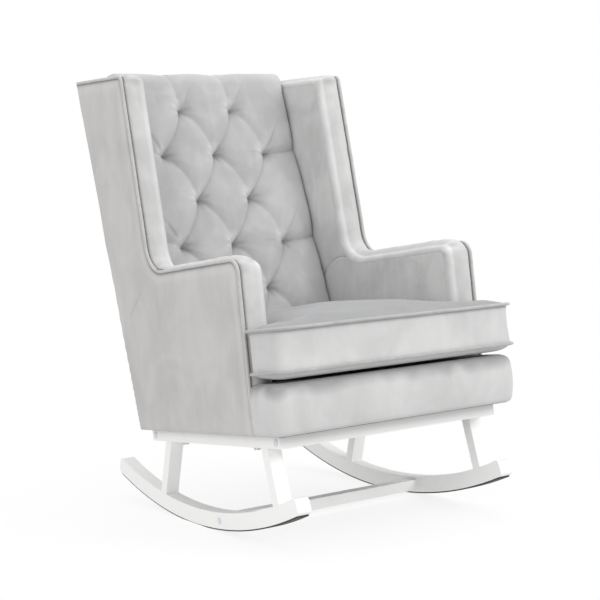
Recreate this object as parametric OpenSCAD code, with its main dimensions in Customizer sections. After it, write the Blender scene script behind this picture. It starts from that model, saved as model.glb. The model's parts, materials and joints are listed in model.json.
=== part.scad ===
// Upholstered wing-back rocking chair on a wooden rocker frame, with a loose T-shaped seat cushion.
// Millimetres. The chair faces -Y, +X is the sitter's left, and the floor is z = 0.
// Everything is drawn in the chair's own frame, whose rails are level, and chair() then sets it
// down on its rockers, leaning back by rest_pitch.

/* [Stance] */
// Angle that the chair leans back at when it stands empty, degrees
rest_pitch = 5; // [3:0.5:8]
// Rocking radius, from the rockers' centre to the underside of their felt
rock_r = 1150; // [1000:10:1400]
// Distance of the rockers' centre behind the middle of the chair
rock_y = 70; // [50:1:110]
// Length of the flat that the chair's weight presses into each felt strip
felt_flat = 120; // [40:4:140]

/* [Rocker frame] */
// Distance of the side frames inside the body's outer sides
frame_inset = 27; // [20:1:60]
// Thickness of rails, legs and runners across the chair
stock_t = 32; // [26:1:38]
// Distance of the side rails' front ends behind the front of the base
rail_front_set = 45; // [30:1:70]
// Distance of the side rails' rear ends ahead of the rear of the base
rail_rear_set = 12; // [2:1:30]
// Height of the rails' top face above the felt's underside
rail_top = 212; // [170:1:260]
// Height of each rail
rail_h = 25; // [22:1:40]
// Depth of each leg, front to back
leg_d = 25; // [22:1:34]
// Distance from the rail's front end to the front leg's centre
front_leg_set = 65; // [50:1:100]
// Distance from the rail's rear end to the rear leg's centre
rear_leg_set = 80; // [60:1:100]
// Rake of the front legs, degrees from upright
front_rake = 12; // [6:1:16]
// Rake of the rear legs, degrees from upright
rear_rake = 23.5; // [10:0.5:26]
// Height of the runners' section
runner_h = 36; // [30:1:44]
// Reach of the runners forward, degrees about the rocking centre
runner_front_deg = 18; // [17:0.5:22]
// Reach of the runners rearward, degrees about the rocking centre
runner_rear_deg = 24.5; // [21:0.5:28]
// Thickness of the felt strip under each runner
felt_t = 3; // [2:0.5:5]
// Depth of the lower stretcher, front to back
stretcher_d = 40; // [30:1:50]
// Height of the lower stretcher
stretcher_h = 24; // [18:1:28]
// Stretcher's centre, front to back
stretcher_y = 49; // [30:1:70]

/* [Joinery] */
// Diameter of the connecting bolts
bolt_d = 6; // [5:1:8]
// Length of a connecting bolt under its head
bolt_l = 70; // [55:1:80]
// Diameter of the bolt heads
head_d = 12; // [10:1:14]
// Height of the bolt heads
head_h = 4; // [3:0.5:5]
// Diameter of the plastic caps over the bolt heads
cap_d = 15; // [14:1:18]
// Height that a cap stands proud of the wood
cap_proud = 1.5; // [1:0.5:3]
// Diameter of the cross-drilled barrel nuts
barrel_d = 10; // [9:1:12]
// Length of the barrel nuts
barrel_l = 18; // [14:1:20]
// Diameter of the dowels in the leg joints
dowel_d = 8; // [6:1:10]
// Depth that a dowel enters each piece of a leg joint
dowel_in = 17; // [12:1:19]
// Space between the two dowels of a joint, centre to centre
dowel_gap = 14; // [12:1:16]
// Diameter of the bolts that hold the body on the rails
mount_bolt_d = 8; // [6:1:8]
// Running gap round a bolt in its hole
bolt_clear = 0.4; // [0.2:0.1:0.8]

/* [Body] */
// Width over the outer side covers
body_w = 608; // [560:2:740]
// Width of the band that faces the wings and arms
band_w = 66; // [55:1:80]
// Front of the base below the seat cushion
base_front_y = -284; // [-300:1:-255]
// Depth of the base at its underside
base_d = 634; // [560:2:770]
// Distance of the arms' front faces behind the front of the base
arm_set = 104; // [80:1:120]
// Gap between the rails and the body, filled by spacers and the dust cover
body_gap = 3; // [2:0.5:6]
// Height of the base, from its underside to the deck under the seat cushion
base_h = 105; // [95:1:130]
// Height of the arms above the base
arm_h = 254; // [210:1:310]
// Height of the wings' front edge above the arms
wing_h = 451; // [370:1:545]
// Rise of the wings from their front edge to the rear
wing_rise = 30; // [20:1:60]
// Distance that the back leans rearward over its whole height
back_lean = 172; // [120:1:220]
// Depth of the wings at the top
wing_top_d = 248; // [200:1:290]
// Depth of the wings at the height of the arms
wing_low_d = 200; // [160:1:240]
// Radius of the curve from wing to arm
wing_arm_r = 80; // [50:5:100]
// Radius of the arm's front corner
arm_corner_r = 28; // [15:1:40]
// Padding and fabric of the band over the frame
band_t = 10; // [8:1:14]
// Fabric and wadding of the flat covers
cover_t = 6; // [4:1:8]
// Radius of the piping on the side seams
piping_r = 4; // [3:0.5:5]
// Thickness of the plywood side frames
ply_t = 20; // [18:1:24]
// Thickness of the wooden seat and back rails
rail_t = 22; // [18:1:25]

/* [Back pad] */
// Thickness of the back, from pad to rear face, at seat height
back_low_t = 100; // [85:1:125]
// Thickness of the back at its top
back_top_t = 80; // [66:1:100]
// Height of the pad above the rear of the wings
pad_over = 10; // [4:1:20]
// Radius of the roll at the pad's top
pad_roll_r = 22; // [15:1:26]
// Distance between tufts in a row
tuft_x = 144; // [120:1:150]
// Distance between rows of tufts
tuft_z = 114; // [100:1:118]
// Height of the lowest row of tufts above the seat cushion's upper piping
tuft_low_h = 97; // [85:1:110]
// Radius of a tuft's hollow in the pad
tuft_r = 11; // [8:1:14]
// Depth of a tuft's hollow
tuft_depth = 22; // [12:1:26]

/* [Seat cushion] */
// Reach of the seat cushion's boxing ahead of the base
cushion_over = 7; // [0:1:12]
// Reach of the cushion's piping past the sides of the base
ear_over = 6; // [0:1:12]
// Height of the boxing between the two lines of piping
cushion_h = 93; // [75:1:112]
// Height of the lower piping above the base's top
cushion_lift = 15; // [14:1:18]
// Rise of the cushion's crown above the upper piping
crown_h = 16; // [8:1:24]
// Radius of the cushion's corners in plan
cushion_corner_r = 22; // [15:1:30]
// Radius of the cushion's piping
cushion_piping_r = 4.5; // [3.5:0.5:5.5]
// Gap between the cushion and its neighbours
cushion_gap = 2.5; // [1.5:0.5:4]
// Thickness of the cushion's cover
cushion_skin = 2.5; // [2:0.5:4]

/* [Hidden] */

// Overshoot of a cut past the face that it opens
cut = 1;
// Reach of the large cutting shapes
far = 1600;
// Steps round a bore and a soft edge
fn_bore = 48;
fn_soft = 32;

// Rocker frame, derived
half_body = body_w / 2;
half_frame = half_body - frame_inset;
inner_frame = half_frame - stock_t;
body_rear_y = base_front_y + base_d;
rail_front_y = base_front_y + rail_front_set;
rail_rear_y = body_rear_y - rail_rear_set;
front_leg_y = rail_front_y + front_leg_set;
rear_leg_y = rail_rear_y - rear_leg_set;
rail_z = rail_top - rail_h;
runner_out = rock_r - felt_t;
runner_in = runner_out - runner_h;
runner_mid = (runner_out + runner_in) / 2;
runner_end_r = 10;
felt_inset = 1;
rocker_steps = 60;
felt_sag = rock_r - sqrt(rock_r * rock_r - felt_flat * felt_flat / 4);
cross_rail_t = stock_t;
front_bolt_y = rail_front_y + cross_rail_t / 2;
rear_bolt_y = rail_rear_y - cross_rail_t / 2;
rail_mid_z = rail_top - rail_h / 2;
stretcher_mid_z = rock_r - runner_mid;
head_sink = head_h + 1.5;
cap_plug_h = head_sink - head_h;
barrel_from_end = bolt_l - (stock_t - head_sink) - barrel_d / 2 - 2;
paint = "white";
velvet = "lightgray";
velvet_shade = "gainsboro";

// Body, derived
body_z = rail_top + body_gap;
base_top = body_z + base_h;
arm_z = base_top + arm_h;
wing_front_z = arm_z + wing_h;
wing_rear_z = wing_front_z + wing_rise;
arm_front_y = base_front_y + arm_set;
top_rear_y = body_rear_y + back_lean;
wing_top_y = top_rear_y - wing_top_d;
back_slope = back_lean / (wing_rear_z - body_z);
wing_low_y = back_y(arm_z) - wing_low_d;
outer_in = half_body - cover_t;
band_end = band_t + 2;
inner_face = half_body - band_w;
inner_back = inner_face + cover_t;
back_slack = 0.2;
ply_out = outer_in - 14;
ply_in = ply_out - ply_t;
deck_t = 12;
pad_t = 8;
seat_rail_top = base_top - deck_t - pad_t - 6;
inner_low_z = seat_rail_top + 5;
window_rim = 55;
border_corner_r = 22;
border_top_r = 16;
border_wall = 12;
border_gap = 1;
piping_clear = 0.4;
dust_t = 1;
spacer_h = body_z - dust_t - rail_top;
body_bolt_x = half_frame - stock_t / 2;
body_bolt_ys = [front_leg_y + 55, rear_leg_y - 55];
washer_d = 22;
washer_t = 1.6;
tee_d = 22;
tee_t = 1.6;
tee_l = 14;
tee_barrel_d = mount_bolt_d + 3;
webbing_t = 2;
pad_back_gap = cover_t + rail_t + webbing_t;
wing_corner_r = 11;
top_fall = (wing_rear_z - wing_front_z) / (top_rear_y - wing_top_y);
pad_low_z = base_top + 4;
pad_top_z = wing_rear_z + pad_over;
pad_low_y = back_y(pad_low_z) - back_low_t;
pad_slope = (back_y(pad_top_z) - back_top_t - pad_low_y) / (pad_top_z - pad_low_z);
back_rail_h = 70;
cushion_z = base_top + cushion_lift;
cushion_top = cushion_z + cushion_h;
back_lower_z = cushion_top + 70;
back_top_z = wing_rear_z - 30;
front_block_x = 200;
clip_size = [18, 14, 5];

// Cushion, derived
cushion_front_y = base_front_y - cushion_over;
cushion_half = inner_face - cushion_gap - 2 * cushion_piping_r;
ear_half = half_body + ear_over - 2 * cushion_piping_r;
ear_rear_y = arm_front_y - 2 * piping_r - cushion_gap - 2 * cushion_piping_r;
cushion_rear_y = pad_y(cushion_z) - 2 * cushion_piping_r - cushion_gap;
crown_inset = 22;
tuft_low_z = cushion_top + tuft_low_h;
under_h = cushion_lift - cushion_gap;
zip_l = 320;
zip_h = 6;
zip_t = 1.2;

// Springs
spring_n = 5;
spring_wire = 3.6;
spring_wave = 55;
spring_half = 17;
spring_step = 8;
spring_z = seat_rail_top + spring_wire / 2 + 1;
front_board_y = arm_front_y + band_t;
clip_ys = [front_board_y + rail_t / 2, body_rear_y - 1.5 * rail_t];
spring_lead = 3;

// Rear face and pad face of the back at height z, in the chair's frame
function back_y(z) = body_rear_y + (z - body_z) * back_slope;
function pad_y(z) = pad_low_y + (z - pad_low_z) * pad_slope;

// Point at an angle from straight down about the rocking centre, at radius r
function rock_pt(a, r) = [rock_y + r * sin(a), rock_r - r * cos(a)];

// Corner of a polygon rounded with radius r, as a short arc of n steps
function unit(v) = v / norm(v);
function corner(p, q, s, r, n) =
    let (u = unit(p - q), v = unit(s - q), half = acos(u * v) / 2, c = q + unit(u + v) * (r / sin(half)),
         a = q + u * (r / tan(half)) - c, b = q + v * (r / tan(half)) - c,
         turn = acos(unit(a) * unit(b)), way = (a[0] * b[1] - a[1] * b[0]) > 0 ? 1 : -1)
    r == 0 ? [q] : [for (i = [0 : n]) c + [a[0] * cos(way * turn * i / n) - a[1] * sin(way * turn * i / n),
                                           a[0] * sin(way * turn * i / n) + a[1] * cos(way * turn * i / n)]];

// Outline with rounded corners, from corners given as [x, y, radius]
function rounded(c, n = 8) = [for (i = [0 : len(c) - 1])
    let (p = c[(i + len(c) - 1) % len(c)], q = c[i], s = c[(i + 1) % len(c)])
    each corner([p[0], p[1]], [q[0], q[1]], [s[0], s[1]], q[2], n)];

// Open line with rounded inner corners, from corners given as [x, y, radius]
function bent(c, n = 8) = [for (i = [0 : len(c) - 1])
    each (i == 0 || i == len(c) - 1) ? [[c[i][0], c[i][1]]] :
        corner([c[i - 1][0], c[i - 1][1]], [c[i][0], c[i][1]], [c[i + 1][0], c[i + 1][1]], c[i][2], n)];

// Side of the body seen from the side, as (y, z) corners with their radii
side_corners = [
    [body_rear_y, body_z, 0], [top_rear_y, wing_rear_z, wing_corner_r], [wing_top_y, wing_front_z, wing_corner_r],
    [wing_low_y, arm_z, wing_arm_r], [arm_front_y, arm_z, arm_corner_r], [arm_front_y, body_z, 0]
];

// Seam line of the side piping, one piping radius outside the side's outline
piping_out = piping_r + piping_clear / 2;
piping_corners = [
    [top_rear_y - wing_corner_r, wing_rear_z + piping_out - wing_corner_r * top_fall, 0],
    [wing_top_y - piping_out, wing_front_z + piping_out, wing_corner_r + piping_out],
    [wing_low_y - piping_out, arm_z + piping_out, wing_arm_r - piping_out],
    [arm_front_y - piping_out, arm_z + piping_out, arm_corner_r + piping_out],
    [arm_front_y - piping_out, body_z + piping_r, 0]
];

// T-shaped plan of the cushion, grown by g
function tee_plan(g) = [
    [-ear_half - g, cushion_front_y - g, cushion_corner_r + g], [ear_half + g, cushion_front_y - g, cushion_corner_r + g],
    [ear_half + g, ear_rear_y + g, 8 + g], [cushion_half + g, ear_rear_y + g, 12 - g],
    [cushion_half + g, cushion_rear_y + g, cushion_corner_r + g], [-cushion_half - g, cushion_rear_y + g, cushion_corner_r + g],
    [-cushion_half - g, ear_rear_y + g, 12 - g], [-ear_half - g, ear_rear_y + g, 8 + g]
];

// Whole chair's place on the floor
function world_y(p) = p[0] * cos(rest_pitch) + p[1] * sin(rest_pitch);
function world_z(p) = p[1] * cos(rest_pitch) - p[0] * sin(rest_pitch);
front_reach = world_y(rock_pt(-runner_front_deg, runner_out - runner_end_r)) - runner_end_r;
rear_reach = world_y([top_rear_y, wing_rear_z]);
set_back = -(front_reach + rear_reach) / 2;
set_up = rock_r - felt_sag - world_z([rock_y, rock_r]);

module chair() {
    translate([0, set_back, set_up]) rotate([-rest_pitch, 0, 0]) children();
}

// Draws a right-hand (+X, sitter's left) piece, or its mirror image on the other side
module sided(s) {
    if (s > 0) children(); else mirror([1, 0, 0]) children();
}

// Profile in (y, z), extruded across the chair from x0 to x1
module across(x0, x1) {
    translate([x0, 0, 0]) rotate([90, 0, 90]) linear_extrude(x1 - x0) children();
}

// Round bar along X, and upright
module bar_x(x0, x1, y, z, d) {
    translate([x0, y, z]) rotate([0, 90, 0]) cylinder(d = d, h = x1 - x0, $fn = fn_bore);
}
module bar_z(x, y, z0, z1, d) {
    translate([x, y, z0]) cylinder(d = d, h = z1 - z0, $fn = fn_bore);
}

// Tube swept along open or closed points in the plane whose normal is flat
module tube(path, r, flat, closed = false, sides = 8) {
    n = len(path);
    rings = [for (i = [0 : n - 1])
        let (a = closed ? path[(i + n - 1) % n] : path[max(i - 1, 0)],
             b = closed ? path[(i + 1) % n] : path[min(i + 1, n - 1)],
             u = unit(cross(b - a, flat)))
        for (k = [0 : sides - 1]) path[i] + r * (u * cos(360 * k / sides) - flat * sin(360 * k / sides))];
    last = closed ? n - 1 : n - 2;
    walls = [for (i = [0 : last], k = [0 : sides - 1])
        let (j = (i + 1) % n, m = (k + 1) % sides) [i * sides + k, j * sides + k, j * sides + m, i * sides + m]];
    ends = closed ? [] : [[for (k = [0 : sides - 1]) k], [for (k = [sides - 1 : -1 : 0]) (n - 1) * sides + k]];
    polyhedron(points = rings, faces = concat(walls, ends), convexity = 6);
}

// ---------- Rocker frame ----------

// Curved bar about the rocking centre between radii r0 and r1. It starts and ends spare steps
// inside the runner's reach, with its end corners rounded to r_end.
module rocker(r0, r1, r_end = 0, spare = 0) {
    first = spare;
    last = rocker_steps - spare;
    function step(i) = -runner_front_deg + (runner_front_deg + runner_rear_deg) * i / rocker_steps;
    function at_end(i) = (i == first || i == last) ? r_end : 0;
    polygon(rounded(concat(
        [for (i = [first : last]) [each rock_pt(step(i), r1), at_end(i)]],
        [for (i = [last : -1 : first]) [each rock_pt(step(i), r0), at_end(i)]])));
}

// Runner with rounded ends, bored for the stretcher bolt and for the leg dowels
module runner() {
    difference() {
        across(inner_frame, half_frame)
            rocker(runner_in, runner_out, runner_end_r);
        bolt_bore(stretcher_y, stretcher_mid_z);
        for (leg = legs) dowel_pair(leg, foot_pt(leg), 0.05);
    }
}

// Felt strip, pressed flat where the chair stands
module runner_felt(s) {
    difference() {
        chair() sided(s) across(inner_frame + felt_inset, half_frame - felt_inset)
            rocker(runner_out, rock_r, spare = 1);
        translate([-far / 2, -far / 2, -far]) cube(far);
    }
}

// Each leg as [centre under the rail, rake], the rake positive when the foot runs rearward
legs = [[front_leg_y, -front_rake], [rear_leg_y, rear_rake]];
function leg_pt(leg, drop) = [leg[0] + drop * tan(leg[1]), rail_z - drop];
// Height that the leg's centre line drops from the rail to the runner's top face
function leg_drop(leg) = let (t = tan(leg[1]), dy = leg[0] - rock_y, dz = rail_z - rock_r,
    a = 1 + t * t, b = 2 * (dy * t - dz), c = dy * dy + dz * dz - runner_in * runner_in)
    (-b + sqrt(b * b - 4 * a * c)) / (2 * a);
function foot_pt(leg) = leg_pt(leg, leg_drop(leg));

// Pair of dowels side by side across the joint, along the leg's rake
module dowel_pair(leg, p, grow = 0) {
    for (dx = [-dowel_gap / 2, dowel_gap / 2])
        translate([half_frame - stock_t / 2 + dx, p[0], p[1]]) rotate([leg[1], 0, 0])
            cylinder(d = dowel_d + 2 * grow, h = 2 * (dowel_in + grow), center = true, $fn = fn_bore);
}

module leg(leg) {
    half = leg_d / 2 / cos(leg[1]);
    low = leg_pt(leg, rail_z);
    difference() {
        across(inner_frame, half_frame) intersection() {
            polygon([[leg[0] - half, rail_z], [leg[0] + half, rail_z], [low[0] + half, 0], [low[0] - half, 0]]);
            rocker(runner_in - rail_top, runner_in);
        }
        dowel_pair(leg, leg_pt(leg, 0), 0.05);
        dowel_pair(leg, foot_pt(leg), 0.05);
    }
}

// Bore for a connecting bolt through a side piece, with the sinking for head and cap
module bolt_bore(y, z) {
    bar_x(inner_frame - cut, half_frame + cut, y, z, bolt_d + bolt_clear);
    bar_x(half_frame - head_sink, half_frame + cut, y, z, cap_d - 2);
}

// Bore for the bolt's shank and its barrel nut in a cross piece's end
module end_bores(y, z) {
    bar_x(inner_frame - bolt_l + stock_t - head_sink - 2, inner_frame + cut, y, z, bolt_d + bolt_clear);
    bar_z(inner_frame - barrel_from_end, y, z - barrel_l / 2, z + stock_t, barrel_d + bolt_clear);
}

module side_rail() {
    difference() {
        translate([inner_frame, rail_front_y, rail_z]) cube([stock_t, rail_rear_y - rail_front_y, rail_h]);
        for (y = [front_bolt_y, rear_bolt_y]) bolt_bore(y, rail_mid_z);
        for (leg = legs) dowel_pair(leg, leg_pt(leg, 0), 0.05);
        for (y = body_bolt_ys) bar_z(body_bolt_x, y, rail_z - cut, rail_top + cut, mount_bolt_d + bolt_clear);
    }
}

module cross_rail(y0, bolt_y) {
    difference() {
        translate([-inner_frame, y0, rail_z]) cube([2 * inner_frame, cross_rail_t, rail_h]);
        for (s = [-1, 1]) sided(s) end_bores(bolt_y, rail_mid_z);
    }
}

module lower_stretcher() {
    difference() {
        translate([-inner_frame, stretcher_y - stretcher_d / 2, stretcher_mid_z - stretcher_h / 2])
            cube([2 * inner_frame, stretcher_d, stretcher_h]);
        for (s = [-1, 1]) sided(s) end_bores(stretcher_y, stretcher_mid_z);
    }
}

// Places of the connecting bolts, as (y, z)
bolt_places = [[front_bolt_y, rail_mid_z], [rear_bolt_y, rail_mid_z], [stretcher_y, stretcher_mid_z]];

module frame_bolt() {
    under_head = half_frame - head_sink;
    for (p = bolt_places) {
        bar_x(under_head - bolt_l, under_head, p[0], p[1], bolt_d);
        bar_x(under_head, under_head + head_h, p[0], p[1], head_d);
    }
}

module barrel_nut() {
    for (p = bolt_places) difference() {
        bar_z(inner_frame - barrel_from_end, p[0], p[1] - barrel_l / 2, p[1] + barrel_l / 2, barrel_d);
        bar_x(inner_frame - far / 2, inner_frame + cut, p[0], p[1], bolt_d);
    }
}

module bolt_cap() {
    for (p = bolt_places) {
        bar_x(half_frame - cap_plug_h, half_frame, p[0], p[1], cap_d - 2);
        bar_x(half_frame, half_frame + cap_proud, p[0], p[1], cap_d);
    }
}

// ---------- Joining the body to the rails ----------

module body_bolt() {
    for (y = body_bolt_ys) {
        bar_z(body_bolt_x, y, rail_z - washer_t - 5, rail_z - washer_t, mount_bolt_d * 1.7);
        bar_z(body_bolt_x, y, rail_z - washer_t, seat_rail_top - tee_t, mount_bolt_d);
    }
}
module ring_z(y, z0, z1, d) {
    difference() {
        bar_z(body_bolt_x, y, z0, z1, d);
        bar_z(body_bolt_x, y, z0 - cut, z1 + cut, mount_bolt_d + bolt_clear);
    }
}
module body_washer() { for (y = body_bolt_ys) ring_z(y, rail_z - washer_t, rail_z, washer_d); }
module body_spacer() { for (y = body_bolt_ys) ring_z(y, rail_top, body_z - dust_t, washer_d); }
module tee_nut() {
    for (y = body_bolt_ys) difference() {
        union() {
            bar_z(body_bolt_x, y, seat_rail_top - tee_t, seat_rail_top, tee_d);
            bar_z(body_bolt_x, y, seat_rail_top - tee_l, seat_rail_top - tee_t, tee_barrel_d);
        }
        bar_z(body_bolt_x, y, seat_rail_top - tee_l - cut, seat_rail_top + cut, mount_bolt_d);
    }
}

// ---------- Body frame ----------

module side_outline() { polygon(rounded(side_corners)); }

// Everything in front of the rear face, less a thickness d
module before_back(d) {
    polygon([[-far, -far], [back_y(-far) - d, -far], [back_y(far) - d, far], [-far, far]]);
}
module above(z) { translate([-far, z]) square([2 * far, far]); }
module below(z) { translate([-far, z - far]) square([2 * far, far]); }

// Band's section, seen from the side: the rim of the outline along wing, arm and arm front
module band_outline() {
    intersection() {
        difference() {
            side_outline();
            offset(delta = -band_t) side_outline();
        }
        before_back(band_end);
        above(body_z + band_t);
    }
}

// What lies inside the band
module inside_outline() {
    difference() {
        intersection() { side_outline(); before_back(cover_t); }
        band_outline();
    }
}

module side_frame() {
    across(ply_in, ply_out) difference() {
        intersection() { inside_outline(); above(seat_rail_top); }
        offset(r = 20, $fn = fn_soft) offset(delta = -window_rim - 20) intersection() {
            inside_outline();
            above(arm_z - 40);
        }
        offset(r = 20, $fn = fn_soft) offset(delta = -window_rim - 20) intersection() {
            inside_outline();
            below(arm_z);
            above(seat_rail_top - window_rim);
        }
    }
}

module outer_padding() { across(ply_out, outer_in) inside_outline(); }
module inner_padding() {
    across(inner_back, ply_in) intersection() { inside_outline(); above(inner_low_z); before_back(cover_t + rail_t); }
}

module seat_rail() {
    difference() {
        translate([inner_frame, front_board_y + rail_t, body_z])
            cube([ply_out - inner_frame, body_rear_y - front_board_y - 3 * rail_t, seat_rail_top - body_z]);
        for (y = body_bolt_ys) {
            bar_z(body_bolt_x, y, body_z - cut, seat_rail_top + cut, mount_bolt_d + bolt_clear);
            bar_z(body_bolt_x, y, seat_rail_top - tee_l, seat_rail_top + cut, tee_barrel_d);
            bar_z(body_bolt_x, y, seat_rail_top - tee_t, seat_rail_top + cut, tee_d);
        }
    }
}

// Board of the seat frame across the chair, reaching x either side
module seat_board(x, y) {
    translate([-x, y, body_z]) cube([2 * x, rail_t, seat_rail_top - body_z]);
}
module front_seat_rail() { seat_board(ply_out, front_board_y); }
// Outer front board and the two blocks that carry it ahead of the front seat rail
module front_rail_blocks() {
    y = base_front_y + border_wall;
    seat_board(half_body - border_wall, y);
    for (s = [-1, 1])
        translate([s * front_block_x - rail_t, y + rail_t, body_z])
            cube([2 * rail_t, front_board_y - y - rail_t, seat_rail_top - body_z]);
}
module rear_seat_rail() { seat_board(ply_out, body_rear_y - 2 * rail_t); }

// Board of the back frame, leaning with the rear face, between heights z0 and z1
module back_board(z0, z1, x) {
    across(-x, x) polygon([
        [back_y(z0) - cover_t - rail_t, z0], [back_y(z0) - cover_t, z0],
        [back_y(z1) - cover_t, z1], [back_y(z1) - cover_t - rail_t, z1]
    ]);
}

module strap(z0, z1, d, x0, x1) {
    across(x0, x1) polygon([
        [back_y(z0) - d - webbing_t, z0], [back_y(z0) - d, z0],
        [back_y(z1) - d, z1], [back_y(z1) - d - webbing_t, z1]
    ]);
}
module back_webbing() {
    for (i = [-1.5 : 1 : 1.5])
        strap(back_lower_z + 10, wing_rear_z - 60, cover_t + rail_t, i * 110 - 25, i * 110 + 25);
}

// Zigzag spring: a wire that waves from side to side on its way from the front rail to the rear rail
module zigzag(x) {
    y0 = clip_ys[0] + clip_size[1] / 2;
    y1 = clip_ys[1] - clip_size[1] / 2;
    n = spring_step * round((y1 - y0) / spring_wave);
    wave = [for (i = [0 : n]) [x + spring_half * sin(360 * i / spring_step),
        y0 + spring_lead + (y1 - y0 - 2 * spring_lead) * i / n, spring_z]];
    tube(concat([[x, y0, spring_z]], wave, [[x, y1, spring_z]]), spring_wire / 2, [0, 0, 1], sides = 6);
}
spring_xs = [for (i = [0 : spring_n - 1]) (i - (spring_n - 1) / 2) * 88];
module spring_clip() {
    for (x = spring_xs, y = clip_ys)
        translate([x - clip_size[0] / 2, y - clip_size[1] / 2, seat_rail_top]) cube(clip_size);
}

module seat_pad() {
    y0 = front_board_y;
    translate([-inner_face, y0, base_top - deck_t - pad_t])
        cube([2 * inner_face, body_rear_y - rail_t - y0, pad_t]);
}

module dust_cover() {
    difference() {
        translate([-half_body + 14, base_front_y + 14, body_z - dust_t])
            cube([body_w - 28, body_rear_y - base_front_y - 28, dust_t]);
        for (s = [-1, 1], y = body_bolt_ys)
            bar_z(s * body_bolt_x, y, body_z - 2, body_z + cut, mount_bolt_d + bolt_clear);
    }
}

// ---------- Covers ----------

module outer_side() { across(outer_in, half_body) side_outline(); }
module band() { across(inner_face, outer_in) band_outline(); }
module inner_arm() {
    across(inner_face, inner_back) intersection() {
        inside_outline(); above(inner_low_z); below(arm_z - 30); before_back(pad_back_gap);
    }
}
module inner_wing() {
    across(inner_face, inner_back) intersection() { inside_outline(); above(arm_z - 30); before_back(pad_back_gap); }
}
module side_piping() {
    tube([for (p = bent(piping_corners)) [half_body - piping_r, p[0], p[1]]], piping_r, [1, 0, 0]);
}

// Fabric-covered front of the base, open at the back and below, with the front seat rail inside
module border_plan(g) {
    polygon(rounded([
        [-half_body + g, arm_front_y, 0], [-half_body + g, base_front_y + g, border_corner_r],
        [half_body - g, base_front_y + g, border_corner_r], [half_body - g, arm_front_y, 0]
    ]));
}
module base_border() {
    inside = half_body - border_wall;
    difference() {
        hull() {
            translate([0, 0, body_z]) linear_extrude(base_top - border_top_r - body_z) border_plan(0);
            translate([0, 0, base_top - 1]) linear_extrude(1) border_plan(border_top_r * 0.6);
        }
        translate([-inside, base_front_y + border_wall, body_z - cut])
            cube([2 * inside, far, seat_rail_top + cut + border_gap - body_z]);
        for (x = [-half_body - cut, half_body - 2 * piping_r - piping_clear])
            translate([x, arm_front_y - 2 * piping_r - piping_clear, body_z - cut])
                cube([2 * piping_r + piping_clear + cut, far, far]);
    }
}

module seat_deck() {
    translate([-inner_face, arm_front_y, base_top - deck_t])
        cube([2 * inner_face, pad_y(base_top) - arm_front_y, deck_t]);
}

// Pad of the back: straight face with a rolled top, hollowed at each tuft
module pad_profile() {
    z1 = pad_top_z;
    polygon(rounded([
        [pad_y(pad_low_z), pad_low_z, 12], [pad_y(z1), z1, pad_roll_r], [back_y(z1) - 8, z1, pad_roll_r],
        [back_y(z1 - 40) - 8, z1 - 40, 0], [back_y(z1 - 40) - pad_back_gap, z1 - 40, 0],
        [back_y(pad_low_z) - pad_back_gap, pad_low_z, 0]
    ]));
}
// Rows of tufts from the lowest up, alternately two and three across
module tuft_hollows() {
    for (row = [0 : 4]) {
        n = row % 2 == 0 ? 2 : 3;
        z = tuft_low_z + row * tuft_z;
        for (i = [0 : n - 1])
            translate([(i - (n - 1) / 2) * tuft_x, pad_y(z), z]) rotate([90 - atan(pad_slope), 0, 0])
                cylinder(r = tuft_r, h = 2 * tuft_depth, center = true, $fn = fn_soft);
    }
}
module tufted_back_pad() {
    x = inner_face - 1;
    difference() {
        across(-x, x) pad_profile();
        tuft_hollows();
    }
}
module outer_back() {
    top = wing_rear_z - 14;
    t = cover_t - back_slack;
    across(-outer_in, outer_in)
        polygon([[back_y(body_z) - t, body_z], [back_y(body_z), body_z], [back_y(top), top], [back_y(top) - t, top]]);
}

// ---------- Seat cushion ----------

// Low mound over a rounded oblong, x either side and from y0 to y1, its sides drawn in by crown_inset
module mound(x, y0, y1, h) {
    middle = [0, (y0 + y1) / 2, 0];
    d = y1 - y0;
    translate(middle) linear_extrude(h, scale = [1 - crown_inset / x, 1 - 2 * crown_inset / d])
        polygon(rounded([[-x, -d / 2, cushion_corner_r], [x, -d / 2, cushion_corner_r],
                         [x, d / 2, cushion_corner_r], [-x, d / 2, cushion_corner_r]]));
}
module mounds(g, h) {
    mound(cushion_half - g, cushion_front_y + g, cushion_rear_y - g, h);
    mound(ear_half - g, cushion_front_y + g, ear_rear_y - g, h);
}
// Cushion's body: boxing between two pipings, a crown above and a flatter one below, shrunk by g
module cushion_body(g) {
    translate([0, 0, cushion_z + g]) linear_extrude(cushion_h - 2 * g) polygon(rounded(tee_plan(-g)));
    translate([0, 0, cushion_top - g]) mounds(g, crown_h);
    translate([0, 0, cushion_z + g]) mirror([0, 0, 1]) mounds(g, under_h);
}
module cushion_core() { cushion_body(cushion_skin); }
module cushion_cover() {
    difference() {
        cushion_body(0);
        cushion_body(cushion_skin);
    }
}
module cushion_piping(z) {
    tube([for (p = rounded(tee_plan(cushion_piping_r))) [p[0], p[1], z]], cushion_piping_r, [0, 0, 1], closed = true);
}
module cushion_zip() {
    translate([-zip_l / 2, cushion_rear_y, cushion_z + cushion_h / 2 - zip_h / 2]) cube([zip_l, zip_t, zip_h]);
}
module zip_slider() {
    translate([zip_l / 2 - 16, cushion_rear_y + zip_t, cushion_z + cushion_h / 2 - 4]) cube([12, 3, 8]);
}

// ---------- Nodes ----------

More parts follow.
